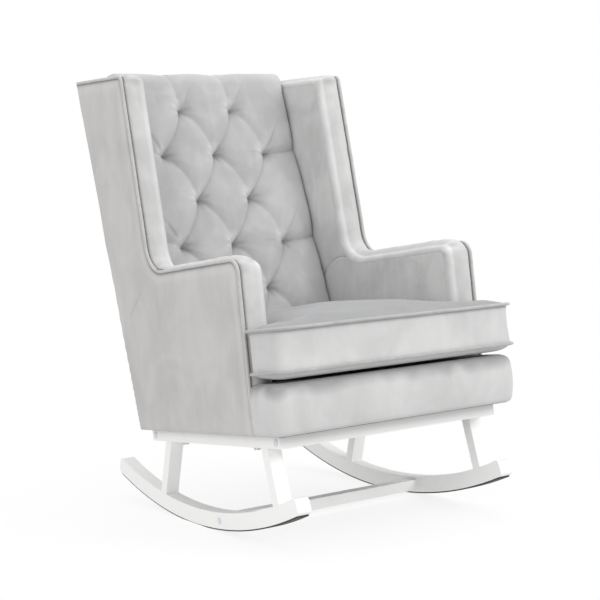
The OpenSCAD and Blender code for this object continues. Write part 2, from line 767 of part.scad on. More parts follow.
module left_runner() color(paint) chair() sided(1) runner();
module right_runner() color(paint) chair() sided(-1) runner();
module left_runner_felt() color("dimgray") runner_felt(1);
module right_runner_felt() color("dimgray") runner_felt(-1);
module front_left_leg() color(paint) chair() sided(1) leg(legs[0]);
module front_right_leg() color(paint) chair() sided(-1) leg(legs[0]);
module rear_left_leg() color(paint) chair() sided(1) leg(legs[1]);
module rear_right_leg() color(paint) chair() sided(-1) leg(legs[1]);
module left_side_rail() color(paint) chair() sided(1) side_rail();
module right_side_rail() color(paint) chair() sided(-1) side_rail();
module front_cross_rail() color(paint) chair() cross_rail(rail_front_y, front_bolt_y);
module rear_cross_rail() color(paint) chair() cross_rail(rail_rear_y - cross_rail_t, rear_bolt_y);
module both() { for (s = [-1, 1]) sided(s) children(); }
module leg_dowels() color("burlywood") chair() both()
    for (leg = legs) { dowel_pair(leg, leg_pt(leg, 0)); dowel_pair(leg, foot_pt(leg)); }

left_runner();
right_runner();
left_runner_felt();
right_runner_felt();
front_left_leg();
front_right_leg();
rear_left_leg();
rear_right_leg();
left_side_rail();
right_side_rail();
front_cross_rail();
rear_cross_rail();
color(paint) chair() lower_stretcher();
leg_dowels();
color("silver") chair() both() frame_bolt();  // frame_bolts
color("silver") chair() both() barrel_nut();  // barrel_nuts
color("lavender") chair() both() bolt_cap();  // bolt_caps
color("silver") chair() both() body_bolt();  // body_bolts
color("silver") chair() both() body_washer();  // body_washers
color("black") chair() both() body_spacer();  // body_spacers
color("silver") chair() both() tee_nut();  // tee_nuts
color("tan") chair() sided(1) side_frame();  // left_side_frame
color("tan") chair() sided(-1) side_frame();  // right_side_frame
color("tan") chair() sided(1) seat_rail();  // left_seat_rail
color("tan") chair() sided(-1) seat_rail();  // right_seat_rail
color("tan") chair() front_seat_rail();
color("tan") chair() front_rail_blocks();
color("tan") chair() rear_seat_rail();
color("tan") chair()  // back_top_rail
    back_board(back_top_z - back_rail_h, back_top_z, ply_in);
color("tan") chair()  // back_lower_rail
    back_board(back_lower_z, back_lower_z + back_rail_h, ply_in);
color("khaki") chair() sided(1) outer_padding();  // left_outer_padding
color("khaki") chair() sided(-1) outer_padding();  // right_outer_padding
color("khaki") chair() sided(1) inner_padding();  // left_inner_padding
color("khaki") chair() sided(-1) inner_padding();  // right_inner_padding
color("gray") chair() for (x = spring_xs) zigzag(x);  // seat_springs
color("gray") chair() spring_clip();  // spring_clips
color("khaki") chair() seat_pad();
color("black") chair() back_webbing();
color("black") chair() dust_cover();
color(velvet) chair() sided(1) outer_side();  // left_outer_side
color(velvet) chair() sided(-1) outer_side();  // right_outer_side
color(velvet_shade) chair() sided(1) band();  // left_band
color(velvet_shade) chair() sided(-1) band();  // right_band
color(velvet) chair() sided(1) inner_arm();  // left_inner_arm
color(velvet) chair() sided(-1) inner_arm();  // right_inner_arm
color(velvet) chair() sided(1) inner_wing();  // left_inner_wing
color(velvet) chair() sided(-1) inner_wing();  // right_inner_wing
color(velvet) chair() sided(1) side_piping();  // left_piping
color(velvet) chair() sided(-1) side_piping();  // right_piping
color(velvet_shade) chair() base_border();
color(velvet) chair() seat_deck();
color(velvet_shade) chair() tufted_back_pad();
color(velvet) chair() outer_back();
color("khaki") chair() cushion_core();
color(velvet_shade) chair() cushion_cover();
color(velvet) chair() cushion_piping(cushion_top);  // cushion_top_piping
color(velvet) chair() cushion_piping(cushion_z);  // cushion_bottom_piping
color("gray") chair() cushion_zip();
color("silver") chair() zip_slider();
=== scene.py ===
"""Wing-back rocking chair: velvet covers, tufted back, loose cushion and painted rocker frame."""

import json
import logging
import math
from dataclasses import dataclass, field
from enum import Enum

import bmesh
import bpy
import numpy as np
from mathutils import Matrix, Vector


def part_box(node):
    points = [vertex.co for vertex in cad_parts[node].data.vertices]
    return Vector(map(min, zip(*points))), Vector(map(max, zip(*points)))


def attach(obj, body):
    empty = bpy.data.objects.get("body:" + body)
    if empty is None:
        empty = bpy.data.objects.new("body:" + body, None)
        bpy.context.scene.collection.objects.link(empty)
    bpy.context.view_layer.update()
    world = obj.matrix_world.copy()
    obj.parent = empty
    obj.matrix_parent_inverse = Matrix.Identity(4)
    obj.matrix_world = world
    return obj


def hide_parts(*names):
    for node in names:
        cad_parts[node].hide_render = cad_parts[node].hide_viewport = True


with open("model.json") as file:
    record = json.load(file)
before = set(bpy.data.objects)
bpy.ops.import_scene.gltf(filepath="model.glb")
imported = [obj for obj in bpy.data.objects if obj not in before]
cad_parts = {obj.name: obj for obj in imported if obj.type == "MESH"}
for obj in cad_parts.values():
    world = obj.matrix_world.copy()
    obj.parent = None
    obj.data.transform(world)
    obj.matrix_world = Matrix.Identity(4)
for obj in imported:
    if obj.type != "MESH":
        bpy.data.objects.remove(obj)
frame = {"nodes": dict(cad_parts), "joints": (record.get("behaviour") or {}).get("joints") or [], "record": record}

Array = np.ndarray
Corner = tuple[float, float, float]
log = logging.getLogger("rocking_chair")


# ---------- Places ----------


@dataclass(frozen=True)
class Level:
    """The chair's own frame, in which its rails are level, and how it stands on the floor."""

    pitch: float
    back: float
    up: float

    @classmethod
    def of_rail(cls, front_y: float, top_z: float) -> "Level":
        """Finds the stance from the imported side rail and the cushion's slide.

        Args:
            front_y: The side rail's front end in the chair's frame.
            top_z: The side rail's top face in the chair's frame.

        Returns:
            The chair's frame.
        """
        axis = frame["joints"][0]["axis"]
        pitch = math.atan2(axis[2], -axis[1])
        low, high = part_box("left_side_rail")
        rail_h = 0.025
        lead = front_y * math.cos(pitch) + (top_z - rail_h) * math.sin(pitch)
        rise = top_z * math.cos(pitch) - front_y * math.sin(pitch)
        return cls(pitch, low.y - lead, high.z - rise)

    def place(self, points: Array) -> Array:
        """Turns points of the chair's frame into places in the row frame.

        Args:
            points: Any array whose last axis is x, y, z.

        Returns:
            An array of the same shape.
        """
        c, s = math.cos(self.pitch), math.sin(self.pitch)
        y, z = points[..., 1], points[..., 2]
        return np.stack([points[..., 0], y * c + z * s + self.back, z * c - y * s + self.up], axis=-1)


class Side(Enum):
    """The sitter's left and right."""

    LEFT = 1
    RIGHT = -1

    @property
    def word(self) -> str:
        """The side's name in piece names."""
        return self.name.lower()


# ---------- Lines and surfaces ----------


def fillet(corners: list[Corner], steps: int = 10) -> Array:
    """Open line through corners, each rounded with its own radius.

    Args:
        corners: Corners as (y, z, radius).
        steps: Steps round each corner.

    Returns:
        The line's points.
    """
    points = [corners[0][:2]]
    for before, here, after in zip(corners, corners[1:], corners[2:]):
        q = np.array(here[:2])
        u, v = np.array(before[:2]) - q, np.array(after[:2]) - q
        u, v = u / np.linalg.norm(u), v / np.linalg.norm(v)
        half = math.acos(float(np.clip(u @ v, -1, 1))) / 2
        if here[2] <= 0 or half > math.radians(89.5):
            points.append(tuple(q))
            continue
        reach = here[2] / math.tan(half)
        centre = q + (u + v) / np.linalg.norm(u + v) * here[2] / math.sin(half)
        a, b = q + u * reach - centre, q + v * reach - centre
        turn = math.acos(float(np.clip(a @ b / (here[2] ** 2), -1, 1)))
        way = 1 if a[0] * b[1] - a[1] * b[0] > 0 else -1
        for i in range(steps + 1):
            t = way * turn * i / steps
            points.append(
                (
                    centre[0] + a[0] * math.cos(t) - a[1] * math.sin(t),
                    centre[1] + a[0] * math.sin(t) + a[1] * math.cos(t)
                )
            )
    points.append(corners[-1][:2])
    return np.array(points)


def inset_corners(corners: list[Corner], inset: float) -> list[Corner]:
    """Moves an open line of corners to its right by inset, keeping its ends on their old cross lines.

    Args:
        corners: Corners as (y, z, radius).
        inset: Distance to the right of the line's direction, negative for the left.

    Returns:
        The moved corners, their radii fitted to the move.
    """
    p = np.array([c[:2] for c in corners])
    d = np.diff(p, axis=0)
    d /= np.linalg.norm(d, axis=1)[:, None]
    n = np.stack([d[:, 1], -d[:, 0]], axis=1) * inset
    moved = [(*(p[0] + n[0]), 0.0)]
    for i in range(1, len(p) - 1):
        a, b = p[i] + n[i - 1], p[i] + n[i]
        cross = d[i - 1, 0] * d[i, 1] - d[i - 1, 1] * d[i, 0]
        t = ((b - a)[0] * d[i, 1] - (b - a)[1] * d[i, 0]) / cross
        radius = max(0.004, corners[i][2] + (inset if cross > 0 else -inset))
        moved.append((*(a + d[i - 1] * t), radius))
    moved.append((*(p[-1] + n[-1]), 0.0))
    return moved


def resample(line: Array, count: int) -> Array:
    """Spaces points evenly along a line.

    Args:
        line: Points of an open line.
        count: Number of points wanted.

    Returns:
        The evenly spaced points.
    """
    run = np.concatenate([[0], np.cumsum(np.linalg.norm(np.diff(line, axis=0), axis=1))])
    at = np.linspace(0, run[-1], count)
    return np.stack([np.interp(at, run, line[:, k]) for k in range(line.shape[1])], axis=1)


def length_of(line: Array) -> float:
    """Length of an open line."""
    return float(np.linalg.norm(np.diff(line, axis=0), axis=1).sum())


def left_normals(line: Array) -> Array:
    """Unit normals to the left of a flat line's direction."""
    t = np.gradient(line, axis=0)
    t /= np.linalg.norm(t, axis=1)[:, None]
    return np.stack([-t[:, 1], t[:, 0]], axis=1)


def distance_to(points: Array, line: Array) -> Array:
    """Distance from points to the nearest point of a line.

    Args:
        points: Flat points on any number of axes.
        line: Closely spaced points of a line.

    Returns:
        The distances.
    """
    flat = points.reshape(-1, points.shape[-1])
    best = np.full(len(flat), 1e9)
    for start in range(0, len(line), 64):
        part = line[start:start + 64]
        best = np.minimum(best, np.linalg.norm(flat[:, None] - part[None], axis=2).min(axis=1))
    return best.reshape(points.shape[:-1])


def cloud(points: Array, size: float, seed: int) -> Array:
    """Smooth random swell between -1 and 1.

    Args:
        points: Places whose last axis is x, y, z.
        size: Width of a swell.
        seed: Choice of pattern.

    Returns:
        A value for each place.
    """
    p = points / size
    cell = np.floor(p).astype(np.int64)
    f = p - cell
    f = f * f * (3 - 2 * f)
    total = np.zeros(points.shape[:-1])
    for corner in np.ndindex(2, 2, 2):
        k = cell + np.array(corner)
        h = (k[..., 0] * 73856093) ^ (k[..., 1] * 19349663) ^ (k[..., 2] * 83492791) ^ (seed * 2654435761)
        h = (h ^ (h >> 13)) * 1274126177
        value = ((h ^ (h >> 16)) & 0xFFFF) / 32767.5 - 1
        weight = np.prod(np.where(np.array(corner) == 1, f, 1 - f), axis=-1)
        total = total + weight * value
    return total


def grid_faces(rows: int, cols: int, start: int = 0, wrap: bool = False) -> list[tuple[int, ...]]:
    """Quads over a grid of points stored row by row.

    Args:
        rows: Number of rows.
        cols: Number of points in a row.
        start: Index of the first point.
        wrap: Whether each row closes on itself.

    Returns:
        The faces.
    """
    last = cols if wrap else cols - 1
    return [
        (
            start + i * cols + j, start + i * cols + (j + 1) % cols,
            start + (i + 1) * cols + (j + 1) % cols, start + (i + 1) * cols + j
        )
        for i in range(rows - 1) for j in range(last)
    ]


def rim_of(rows: int, cols: int, start: int = 0) -> list[int]:
    """Indices round the edge of a grid, in order."""
    top = [start + j for j in range(cols)]
    right = [start + i * cols + cols - 1 for i in range(1, rows)]
    bottom = [start + (rows - 1) * cols + j for j in range(cols - 2, -1, -1)]
    left = [start + i * cols for i in range(rows - 2, 0, -1)]
    return top + right + bottom + left


def make_piece(
    name: str, points: Array, faces: list[tuple[int, ...]], finish: bpy.types.Material
) -> bpy.types.Object:
    """Makes a closed, smooth mesh object whose faces point outward.

    Args:
        name: The piece's name.
        points: Vertices in the row frame.
        faces: Faces over them.
        finish: Material of the piece.

    Returns:
        The new object.
    """
    mesh = bpy.data.meshes.new(name)
    mesh.from_pydata(np.asarray(points, float).reshape(-1, 3).tolist(), [], faces)
    bm = bmesh.new()
    bm.from_mesh(mesh)
    bmesh.ops.recalc_face_normals(bm, faces=bm.faces)
    bm.to_mesh(mesh)
    bm.free()
    mesh.shade_smooth()
    mesh.materials.append(finish)
    piece = bpy.data.objects.new(name, mesh)
    bpy.context.scene.collection.objects.link(piece)
    return piece


def paint_lie(piece: bpy.types.Object, lie: Array) -> None:
    """Records painted shade and painted highlight at each vertex, for the velvet finishes to mix into their
    colour.

    Args:
        piece: A finished piece.
        lie: Painted shade where positive, painted highlight where negative.
    """
    spread = piece.data.attributes.new("lie", "FLOAT", "POINT")
    values = np.zeros(len(piece.data.vertices), np.float32)
    values[:lie.size] = lie.ravel()
    spread.data.foreach_set("value", values)


def shell(name: str, front: Array, back: Array, finish: bpy.types.Material) -> bpy.types.Object:
    """Closed cover between two grids of the same size.

    Args:
        name: The piece's name.
        front: Rows of outer points.
        back: Rows of inner points.
        finish: Material of the piece.

    Returns:
        The new object.
    """
    rows, cols = front.shape[:2]
    count = rows * cols
    a, b = rim_of(rows, cols), rim_of(rows, cols, count)
    faces = grid_faces(rows, cols) + [f[::-1] for f in grid_faces(rows, cols, count)]
    faces += [(a[i], b[i], b[(i + 1) % len(a)], a[(i + 1) % len(a)]) for i in range(len(a))]
    return make_piece(name, np.concatenate([front.reshape(-1, 3), back.reshape(-1, 3)]), faces, finish)


def tube(name: str, rings: Array, finish: bpy.types.Material, closed: bool = False) -> bpy.types.Object:
    """Closed skin through rings of points.

    Args:
        name: The piece's name.
        rings: Rings of points, in order along the tube.
        finish: Material of the piece.
        closed: Whether the last ring joins the first.

    Returns:
        The new object.
    """
    n, m = rings.shape[:2]
    faces = grid_faces(n, m, wrap=True)
    if closed:
        faces += [((n - 1) * m + j, (n - 1) * m + (j + 1) % m, (j + 1) % m, j) for j in range(m)]
    else:
        faces += [tuple(range(m))[::-1], tuple((n - 1) * m + j for j in range(m))]
    return make_piece(name, rings.reshape(-1, 3), faces, finish)


def cord_rings(
    line: Array, radius: float, across: Array, closed: bool = False, sides: int = 12, seed: int = 1
) -> Array:
    """Rings of a fabric-covered cord along a flat line, its thickness a little uneven.

    Args:
        line: Points of the line in the chair's frame.
        radius: Radius of the cord.
        across: Unit normal of the plane that the line lies in.
        closed: Whether the line closes on itself.
        sides: Points round a ring.
        seed: Choice of unevenness.

    Returns:
        The rings, in the chair's frame.
    """
    if closed:
        t = np.roll(line, -1, axis=0) - np.roll(line, 1, axis=0)
    else:
        t = np.gradient(line, axis=0)
    t /= np.linalg.norm(t, axis=1)[:, None]
    u = np.cross(t, across)
    u /= np.linalg.norm(u, axis=1)[:, None]
    angle = np.linspace(0, 2 * math.pi, sides, endpoint=False)
    swell = radius * (1 + 0.05 * cloud(line, 0.013, seed))[:, None, None]
    return (
        line[:, None]
        + swell * (u[:, None] * np.cos(angle)[None, :, None] + across * np.sin(angle)[None, :, None])
    )


# ---------- Finishes ----------

Colour = tuple[float, float, float]


def rgba(colour: Colour) -> tuple[float, float, float, float]:
    """A colour with full alpha."""
    return (*colour, 1.0)


class Wiring:
    """Adds and joins the nodes of one tree."""

    def __init__(self, tree: bpy.types.NodeTree) -> None:
        """Keeps the tree that the nodes go into."""
        self.tree = tree

    def add(
        self, kind: str, values: dict | None = None, joins: dict | None = None, **settings: object
    ) -> bpy.types.Node:
        """Adds a node.

        Args:
            kind: The node's type.
            values: Values of its inputs, by name or place.
            joins: Output sockets that feed its inputs, by name or place.
            **settings: Other properties of the node.

        Returns:
            The new node.
        """
        node = self.tree.nodes.new(kind)
        for key, value in settings.items():
            setattr(node, key, value)
        for key, value in (values or {}).items():
            node.inputs[key].default_value = value
        for key, socket in (joins or {}).items():
            self.tree.links.new(socket, node.inputs[key])
        return node

    def noise(
        self, vector: bpy.types.NodeSocket, scale: float, detail: float = 3.0, roughness: float = 0.55,
        distortion: float = 0.0
    ) -> bpy.types.NodeSocket:
        """Noise value over a vector, at a fixed scale."""
        return (
            self.add(
                "ShaderNodeTexNoise",
                {"Scale": scale, "Detail": detail, "Roughness": roughness, "Distortion": distortion},
                {"Vector": vector}
            ).outputs["Fac"]
        )

    def stretch(
        self, vector: bpy.types.NodeSocket, scale: tuple[float, float, float],
        turn: tuple[float, float, float] = (0, 0, 0)
    ) -> bpy.types.NodeSocket:
        """A vector stretched and turned."""
        return (
            self.add(
                "ShaderNodeMapping", {"Scale": scale, "Rotation": turn}, {"Vector": vector}
            ).outputs["Vector"]
        )

    def ramp(self, value: bpy.types.NodeSocket, low: float, high: float) -> bpy.types.NodeSocket:
        """A value spread from low..high to 0..1."""
        return (
            self.add(
                "ShaderNodeMapRange", {"From Min": low, "From Max": high}, {"Value": value}, clamp=True
            ).outputs["Result"]
        )

    def maths(
        self, operation: str, a: bpy.types.NodeSocket | float, b: bpy.types.NodeSocket | float
    ) -> bpy.types.NodeSocket:
        """One sum of two values or sockets."""
        node = self.add("ShaderNodeMath", operation=operation)
        for place, value in enumerate((a, b)):
            if isinstance(value, (int, float)):
                node.inputs[place].default_value = value
            else:
                self.tree.links.new(value, node.inputs[place])
        return node.outputs[0]

    def mix(
        self, factor: bpy.types.NodeSocket, a: bpy.types.NodeSocket | Colour,
        b: bpy.types.NodeSocket | Colour
    ) -> bpy.types.NodeSocket:
        """A colour between two, by factor."""
        node = self.add("ShaderNodeMix", data_type="RGBA", joins={0: factor})
        for place, value in ((6, a), (7, b)):
            if isinstance(value, tuple):
                node.inputs[place].default_value = rgba(value)
            else:
                self.tree.links.new(value, node.inputs[place])
        return node.outputs[2]


def new_group(
    name: str, inputs: list[tuple[str, str, object]], outputs: list[tuple[str, str]]
) -> tuple[Wiring, bpy.types.Node, bpy.types.Node]:
    """Starts a shader node group with named inputs and outputs.

    Args:
        name: The group's name.
        inputs: Each input's name, socket type and first value.
        outputs: Each output's name and socket type.

    Returns:
        The group's wiring, its input node and its output node.
    """
    tree = bpy.data.node_groups.new(name, "ShaderNodeTree")
    for label, kind, value in inputs:
        socket = tree.interface.new_socket(label, in_out="INPUT", socket_type=kind)
        if value is not None:
            socket.default_value = value
    for label, kind in outputs:
        tree.interface.new_socket(label, in_out="OUTPUT", socket_type=kind)
    wiring = Wiring(tree)
    return wiring, wiring.add("NodeGroupInput"), wiring.add("NodeGroupOutput")


class Effects:
    """Shader node groups that the finishes share."""

    def __init__(self) -> None:
        """Builds each group once."""
        self.nap = self._nap()
        self.weave = self._weave()
        self.grain = self._grain()
        self.dust = self._dust()

    @staticmethod
    def _nap() -> bpy.types.NodeTree:
        """Brushed pile: cloudy patches, long strokes and fine fibre, with painted shade and painted highlight
        mixed over them by a value from each vertex.
        """
        w, given, out = new_group("brushed_nap", [
            ("Vector", "NodeSocketVector", None), ("Light", "NodeSocketColor", (0.6, 0.6, 0.6, 1)),
            ("Dark", "NodeSocketColor", (0.4, 0.4, 0.4, 1)), ("Patch", "NodeSocketFloat", 9.0),
            ("Fibre", "NodeSocketFloat", 900.0),
            ("Lie", "NodeSocketFloat", 0.0),
        ], [("Color", "NodeSocketColor"), ("Height", "NodeSocketFloat")])
        v = given.outputs["Vector"]
        patch = (
            w.add(
                "ShaderNodeTexNoise", {"Detail": 4.0, "Roughness": 0.55, "Distortion": 0.7},
                {"Vector": v, "Scale": given.outputs["Patch"]}
            ).outputs["Fac"]
        )
        nap_streaks_and_shade = w.noise(w.stretch(v, (22, 22, 7), (0.3, 0.2, 0.0)), 1.0, 4.0, 0.6, 0.8)
        fine = (
            w.add(
                "ShaderNodeTexNoise", {"Detail": 2.0, "Roughness": 0.7},
                {"Vector": v, "Scale": given.outputs["Fibre"]}
            ).outputs["Fac"]
        )
        both = w.maths(
            "ADD", w.maths("MULTIPLY", w.ramp(patch, 0.38, 0.62), 0.55),
            w.maths("MULTIPLY", w.ramp(nap_streaks_and_shade, 0.34, 0.66), 0.35)
        )
        both = w.maths("ADD", both, w.maths("MULTIPLY", fine, 0.12))
        colour = (
            w.add(
                "ShaderNodeMix", data_type="RGBA",
                joins={0: both, 6: given.outputs["Dark"], 7: given.outputs["Light"]}
            ).outputs[2]
        )
        # Painted shade towards dark grey where that value is positive, painted highlight towards pale grey where
        # it is negative.
        colour = w.mix(w.ramp(given.outputs["Lie"], 0.0, 1.0), colour, (0.20, 0.20, 0.205))
        colour = w.mix(w.ramp(given.outputs["Lie"], 0.0, -1.0), colour, (0.86, 0.86, 0.87))
        w.tree.links.new(colour, out.inputs["Color"])
        w.tree.links.new(w.maths("ADD", fine, w.maths("MULTIPLY", patch, 0.6)), out.inputs["Height"])
        return w.tree

    @staticmethod
    def _weave() -> bpy.types.NodeTree:
        """Plain weave of threads over and under."""
        w, given, out = new_group("plain_weave", [
            ("Vector", "NodeSocketVector", None), ("Threads", "NodeSocketFloat", 1200.0),
        ], [("Mask", "NodeSocketFloat"), ("Height", "NodeSocketFloat")])
        waves = []
        for axis in ("X", "Y"):
            node = w.add(
                "ShaderNodeTexWave", {"Distortion": 0.6, "Detail": 1.0, "Detail Scale": 2.0},
                {"Vector": given.outputs["Vector"], "Scale": given.outputs["Threads"]}, bands_direction=axis
            )
            waves.append(node.outputs["Fac"])
        height = w.maths("MULTIPLY", waves[0], waves[1])
        w.tree.links.new(w.ramp(height, 0.1, 0.7), out.inputs["Mask"])
        w.tree.links.new(height, out.inputs["Height"])
        return w.tree

    @staticmethod
    def _grain() -> bpy.types.NodeTree:
        """Long wood grain with rings."""
        w, given, out = new_group("wood_grain", [
            ("Vector", "NodeSocketVector", None), ("Light", "NodeSocketColor", (0.6, 0.45, 0.3, 1)),
            ("Dark", "NodeSocketColor", (0.4, 0.28, 0.16, 1)), ("Rings", "NodeSocketFloat", 30.0),
        ], [("Color", "NodeSocketColor"), ("Height", "NodeSocketFloat")])
        long = w.stretch(given.outputs["Vector"], (1.0, 0.12, 1.0))
        rings = (
            w.add(
                "ShaderNodeTexWave", {"Distortion": 5.0, "Detail": 3.0, "Detail Scale": 1.5},
                {"Vector": long, "Scale": given.outputs["Rings"]}, bands_direction="X"
            ).outputs["Fac"]
        )
        pores = w.noise(w.stretch(given.outputs["Vector"], (900, 40, 900)), 1.0, 2.0)
        mask = w.maths("ADD", w.maths("MULTIPLY", rings, 0.7), w.maths("MULTIPLY", pores, 0.4))
        colour = (
            w.add(
                "ShaderNodeMix", data_type="RGBA",
                joins={0: mask, 6: given.outputs["Dark"], 7: given.outputs["Light"]}
            ).outputs[2]
        )
        w.tree.links.new(colour, out.inputs["Color"])
        w.tree.links.new(mask, out.inputs["Height"])
        return w.tree

    @staticmethod
    def _dust() -> bpy.types.NodeTree:
        """Faint dust and handling marks, and a tone that darkens towards the floor."""
        w, given, out = new_group("light_dust", [
            ("Vector", "NodeSocketVector", None), ("Clean", "NodeSocketColor", (0.8, 0.8, 0.8, 1)),
            ("Dusty", "NodeSocketColor", (0.6, 0.58, 0.55, 1)), ("Amount", "NodeSocketFloat", 0.3),
        ], [("Color", "NodeSocketColor"), ("Mask", "NodeSocketFloat")])
        v = given.outputs["Vector"]
        height = w.add("ShaderNodeSeparateXYZ", joins={0: v}).outputs["Z"]
        # Darker towards the floor.
        low = w.maths("SUBTRACT", 1.0, w.ramp(height, 0.0, 0.16))
        marks = w.ramp(w.noise(v, 26.0, 5.0, 0.65, 0.4), 0.5, 0.82)
        mask = w.maths(
            "MULTIPLY", w.maths("ADD", w.maths("MULTIPLY", low, 0.5), marks), given.outputs["Amount"]
        )
        colour = (
            w.add(
                "ShaderNodeMix", data_type="RGBA",
                joins={0: mask, 6: given.outputs["Clean"], 7: given.outputs["Dusty"]}
            ).outputs[2]
        )
        w.tree.links.new(colour, out.inputs["Color"])
        w.tree.links.new(mask, out.inputs["Mask"])
        return w.tree


def start_material(name: str, **values: object) -> tuple[
    Wiring, bpy.types.Node, bpy.types.NodeSocket, bpy.types.Material
]:
    """Starts a material.

    Args:
        name: The material's name.
        **values: Uniform values of the Principled BSDF, with spaces as underscores.

    Returns:
        Its wiring, its Principled BSDF, its Object coordinates and the material.
    """
    material = bpy.data.materials.new(name)
    material.use_nodes = True
    wiring = Wiring(material.node_tree)
    shader = material.node_tree.nodes["Principled BSDF"]
    for key, value in values.items():
        shader.inputs[key.replace("_", " ")].default_value = value
    place = wiring.add("ShaderNodeTexCoord").outputs["Object"]
    return wiring, shader, place, material


def use_group(
    w: Wiring, tree: bpy.types.NodeTree, place: bpy.types.NodeSocket, **values: object
) -> bpy.types.Node:
    """Puts a shared effect into a material with its own values."""
    node = w.add("ShaderNodeGroup", node_tree=tree)
    w.tree.links.new(place, node.inputs["Vector"])
    for key, value in values.items():
        node.inputs[key].default_value = rgba(value) if isinstance(value, tuple) else value
    return node


def bump(
    w: Wiring, shader: bpy.types.Node, height: bpy.types.NodeSocket, depth: float, strength: float = 1.0
) -> None:
    """Raises the shader's surface by a height, depth in metres."""
    node = w.add("ShaderNodeBump", {"Strength": strength, "Distance": depth}, {"Height": height})
    w.tree.links.new(node.outputs["Normal"], shader.inputs["Normal"])


@dataclass(frozen=True)
class Velvet:
    """Short brushed pile with painted sheen, its colour turned lighter where it is seen edge on, and painted shade
    and highlight from each piece's vertices.
    """

    name: str
    light: Colour
    dark: Colour
    patch: float = 8.0
    sheen: float = 0.32

    def make(self, effects: Effects) -> bpy.types.Material:
        """Builds the material."""
        w, shader, place, material = start_material(
            self.name, Sheen_Weight=self.sheen, Sheen_Roughness=0.38, Specular_IOR_Level=0.12
        )
        shader.inputs["Sheen Tint"].default_value = (0.96, 0.97, 1.0, 1.0)
        nap = use_group(w, effects.nap, place, Light=self.light, Dark=self.dark, Patch=self.patch)
        # Painted shade and highlight, read from each piece's vertices.
        lie = w.add("ShaderNodeAttribute", attribute_name="lie")
        w.tree.links.new(lie.outputs["Fac"], nap.inputs["Lie"])
        # Painted sheen: the colour is mixed towards light grey where the surface is seen edge on, less of it where
        # painted shade lies.
        edge_on = w.add("ShaderNodeLayerWeight", {"Blend": 0.42}).outputs["Facing"]
        unshaded = w.maths("SUBTRACT", 1.0, w.ramp(lie.outputs["Fac"], 0.0, 0.8))
        edge = w.maths("MULTIPLY", w.maths("MULTIPLY", edge_on, 0.30), unshaded)
        w.tree.links.new(w.mix(edge, nap.outputs["Color"], (0.80, 0.80, 0.81)), shader.inputs["Base Color"])
        rough = (
            w.add(
                "ShaderNodeMapRange", {"From Min": 0.3, "From Max": 0.7, "To Min": 0.72, "To Max": 0.9},
                {"Value": w.noise(place, 30.0)}
            ).outputs["Result"]
        )
        w.tree.links.new(rough, shader.inputs["Roughness"])
        bump(w, shader, nap.outputs["Height"], 0.0006, 0.35)
        return material


@dataclass(frozen=True)
class Paint:
    """Satin paint on wood, with a trace of the grain under it."""

    name: str
    clean: Colour
    dusty: Colour

    def make(self, effects: Effects) -> bpy.types.Material:
        """Builds the material."""
        w, shader, place, material = start_material(self.name, Coat_Weight=0.12, Coat_Roughness=0.3)
        dust = use_group(w, effects.dust, place, Clean=self.clean, Dusty=self.dusty, Amount=0.16)
        w.tree.links.new(dust.outputs["Color"], shader.inputs["Base Color"])
        rough = (
            w.add(
                "ShaderNodeMapRange", {"From Min": 0.3, "From Max": 0.7, "To Min": 0.34, "To Max": 0.5},
                {"Value": w.noise(place, 60.0)}
            ).outputs["Result"]
        )
        w.tree.links.new(rough, shader.inputs["Roughness"])
        under = w.maths(
            "ADD", w.noise(w.stretch(place, (500, 30, 500)), 1.0),
            w.maths("MULTIPLY", w.noise(place, 260.0), 0.6)
        )
        bump(w, shader, under, 0.0004, 0.18)
        return material


@dataclass(frozen=True)
class Wood:
    """Bare wood or ply."""

    name: str
    light: Colour
    dark: Colour
    rings: float = 26.0

    def make(self, effects: Effects) -> bpy.types.Material:
        """Builds the material."""
        w, shader, place, material = start_material(self.name, Roughness=0.72)
        grain = use_group(w, effects.grain, place, Light=self.light, Dark=self.dark, Rings=self.rings)
        w.tree.links.new(grain.outputs["Color"], shader.inputs["Base Color"])
        bump(w, shader, grain.outputs["Height"], 0.0005, 0.4)
        return material


@dataclass(frozen=True)
class Metal:
    """Plated or drawn steel with fine scratches and duller spots."""

    name: str
    colour: Colour
    dull: Colour
    rough: float = 0.34

    def make(self, effects: Effects) -> bpy.types.Material:
        """Builds the material."""
        w, shader, place, material = start_material(self.name, Metallic=1.0)
        dust = use_group(w, effects.dust, place, Clean=self.colour, Dusty=self.dull, Amount=0.6)
        w.tree.links.new(dust.outputs["Color"], shader.inputs["Base Color"])
        scratch = w.noise(w.stretch(place, (200, 1500, 1500)), 1.0)
        rough = (
            w.add(
                "ShaderNodeMapRange", {"To Min": self.rough - 0.08, "To Max": self.rough + 0.16},
                {"Value": scratch}
            ).outputs["Result"]
        )
        w.tree.links.new(rough, shader.inputs["Roughness"])
        bump(w, shader, scratch, 0.0001, 0.3)
        return material


@dataclass(frozen=True)
class Cloth:
    """Woven cloth, webbing or tape."""

    name: str
    light: Colour
    dark: Colour
    threads: float = 500.0
    sheen: float = 0.15

    def make(self, effects: Effects) -> bpy.types.Material:
        """Builds the material."""
        w, shader, place, material = start_material(
            self.name, Roughness=0.88, Sheen_Weight=self.sheen, Specular_IOR_Level=0.2
        )
        weave = use_group(w, effects.weave, place, Threads=self.threads)
        tone = w.maths(
            "ADD", w.maths("MULTIPLY", weave.outputs["Mask"], 0.6),
            w.maths("MULTIPLY", w.noise(place, 14.0), 0.5)
        )
        w.tree.links.new(w.mix(tone, self.dark, self.light), shader.inputs["Base Color"])
        bump(w, shader, weave.outputs["Height"], 0.0004, 0.5)
        return material


class Pile(Enum):
    """How a soft, plain material is built up."""

    FELT = (700.0, 0.0012, 0.6)
    FOAM = (420.0, 0.0010, 0.8)
    PLASTIC = (320.0, 0.0002, 0.2)


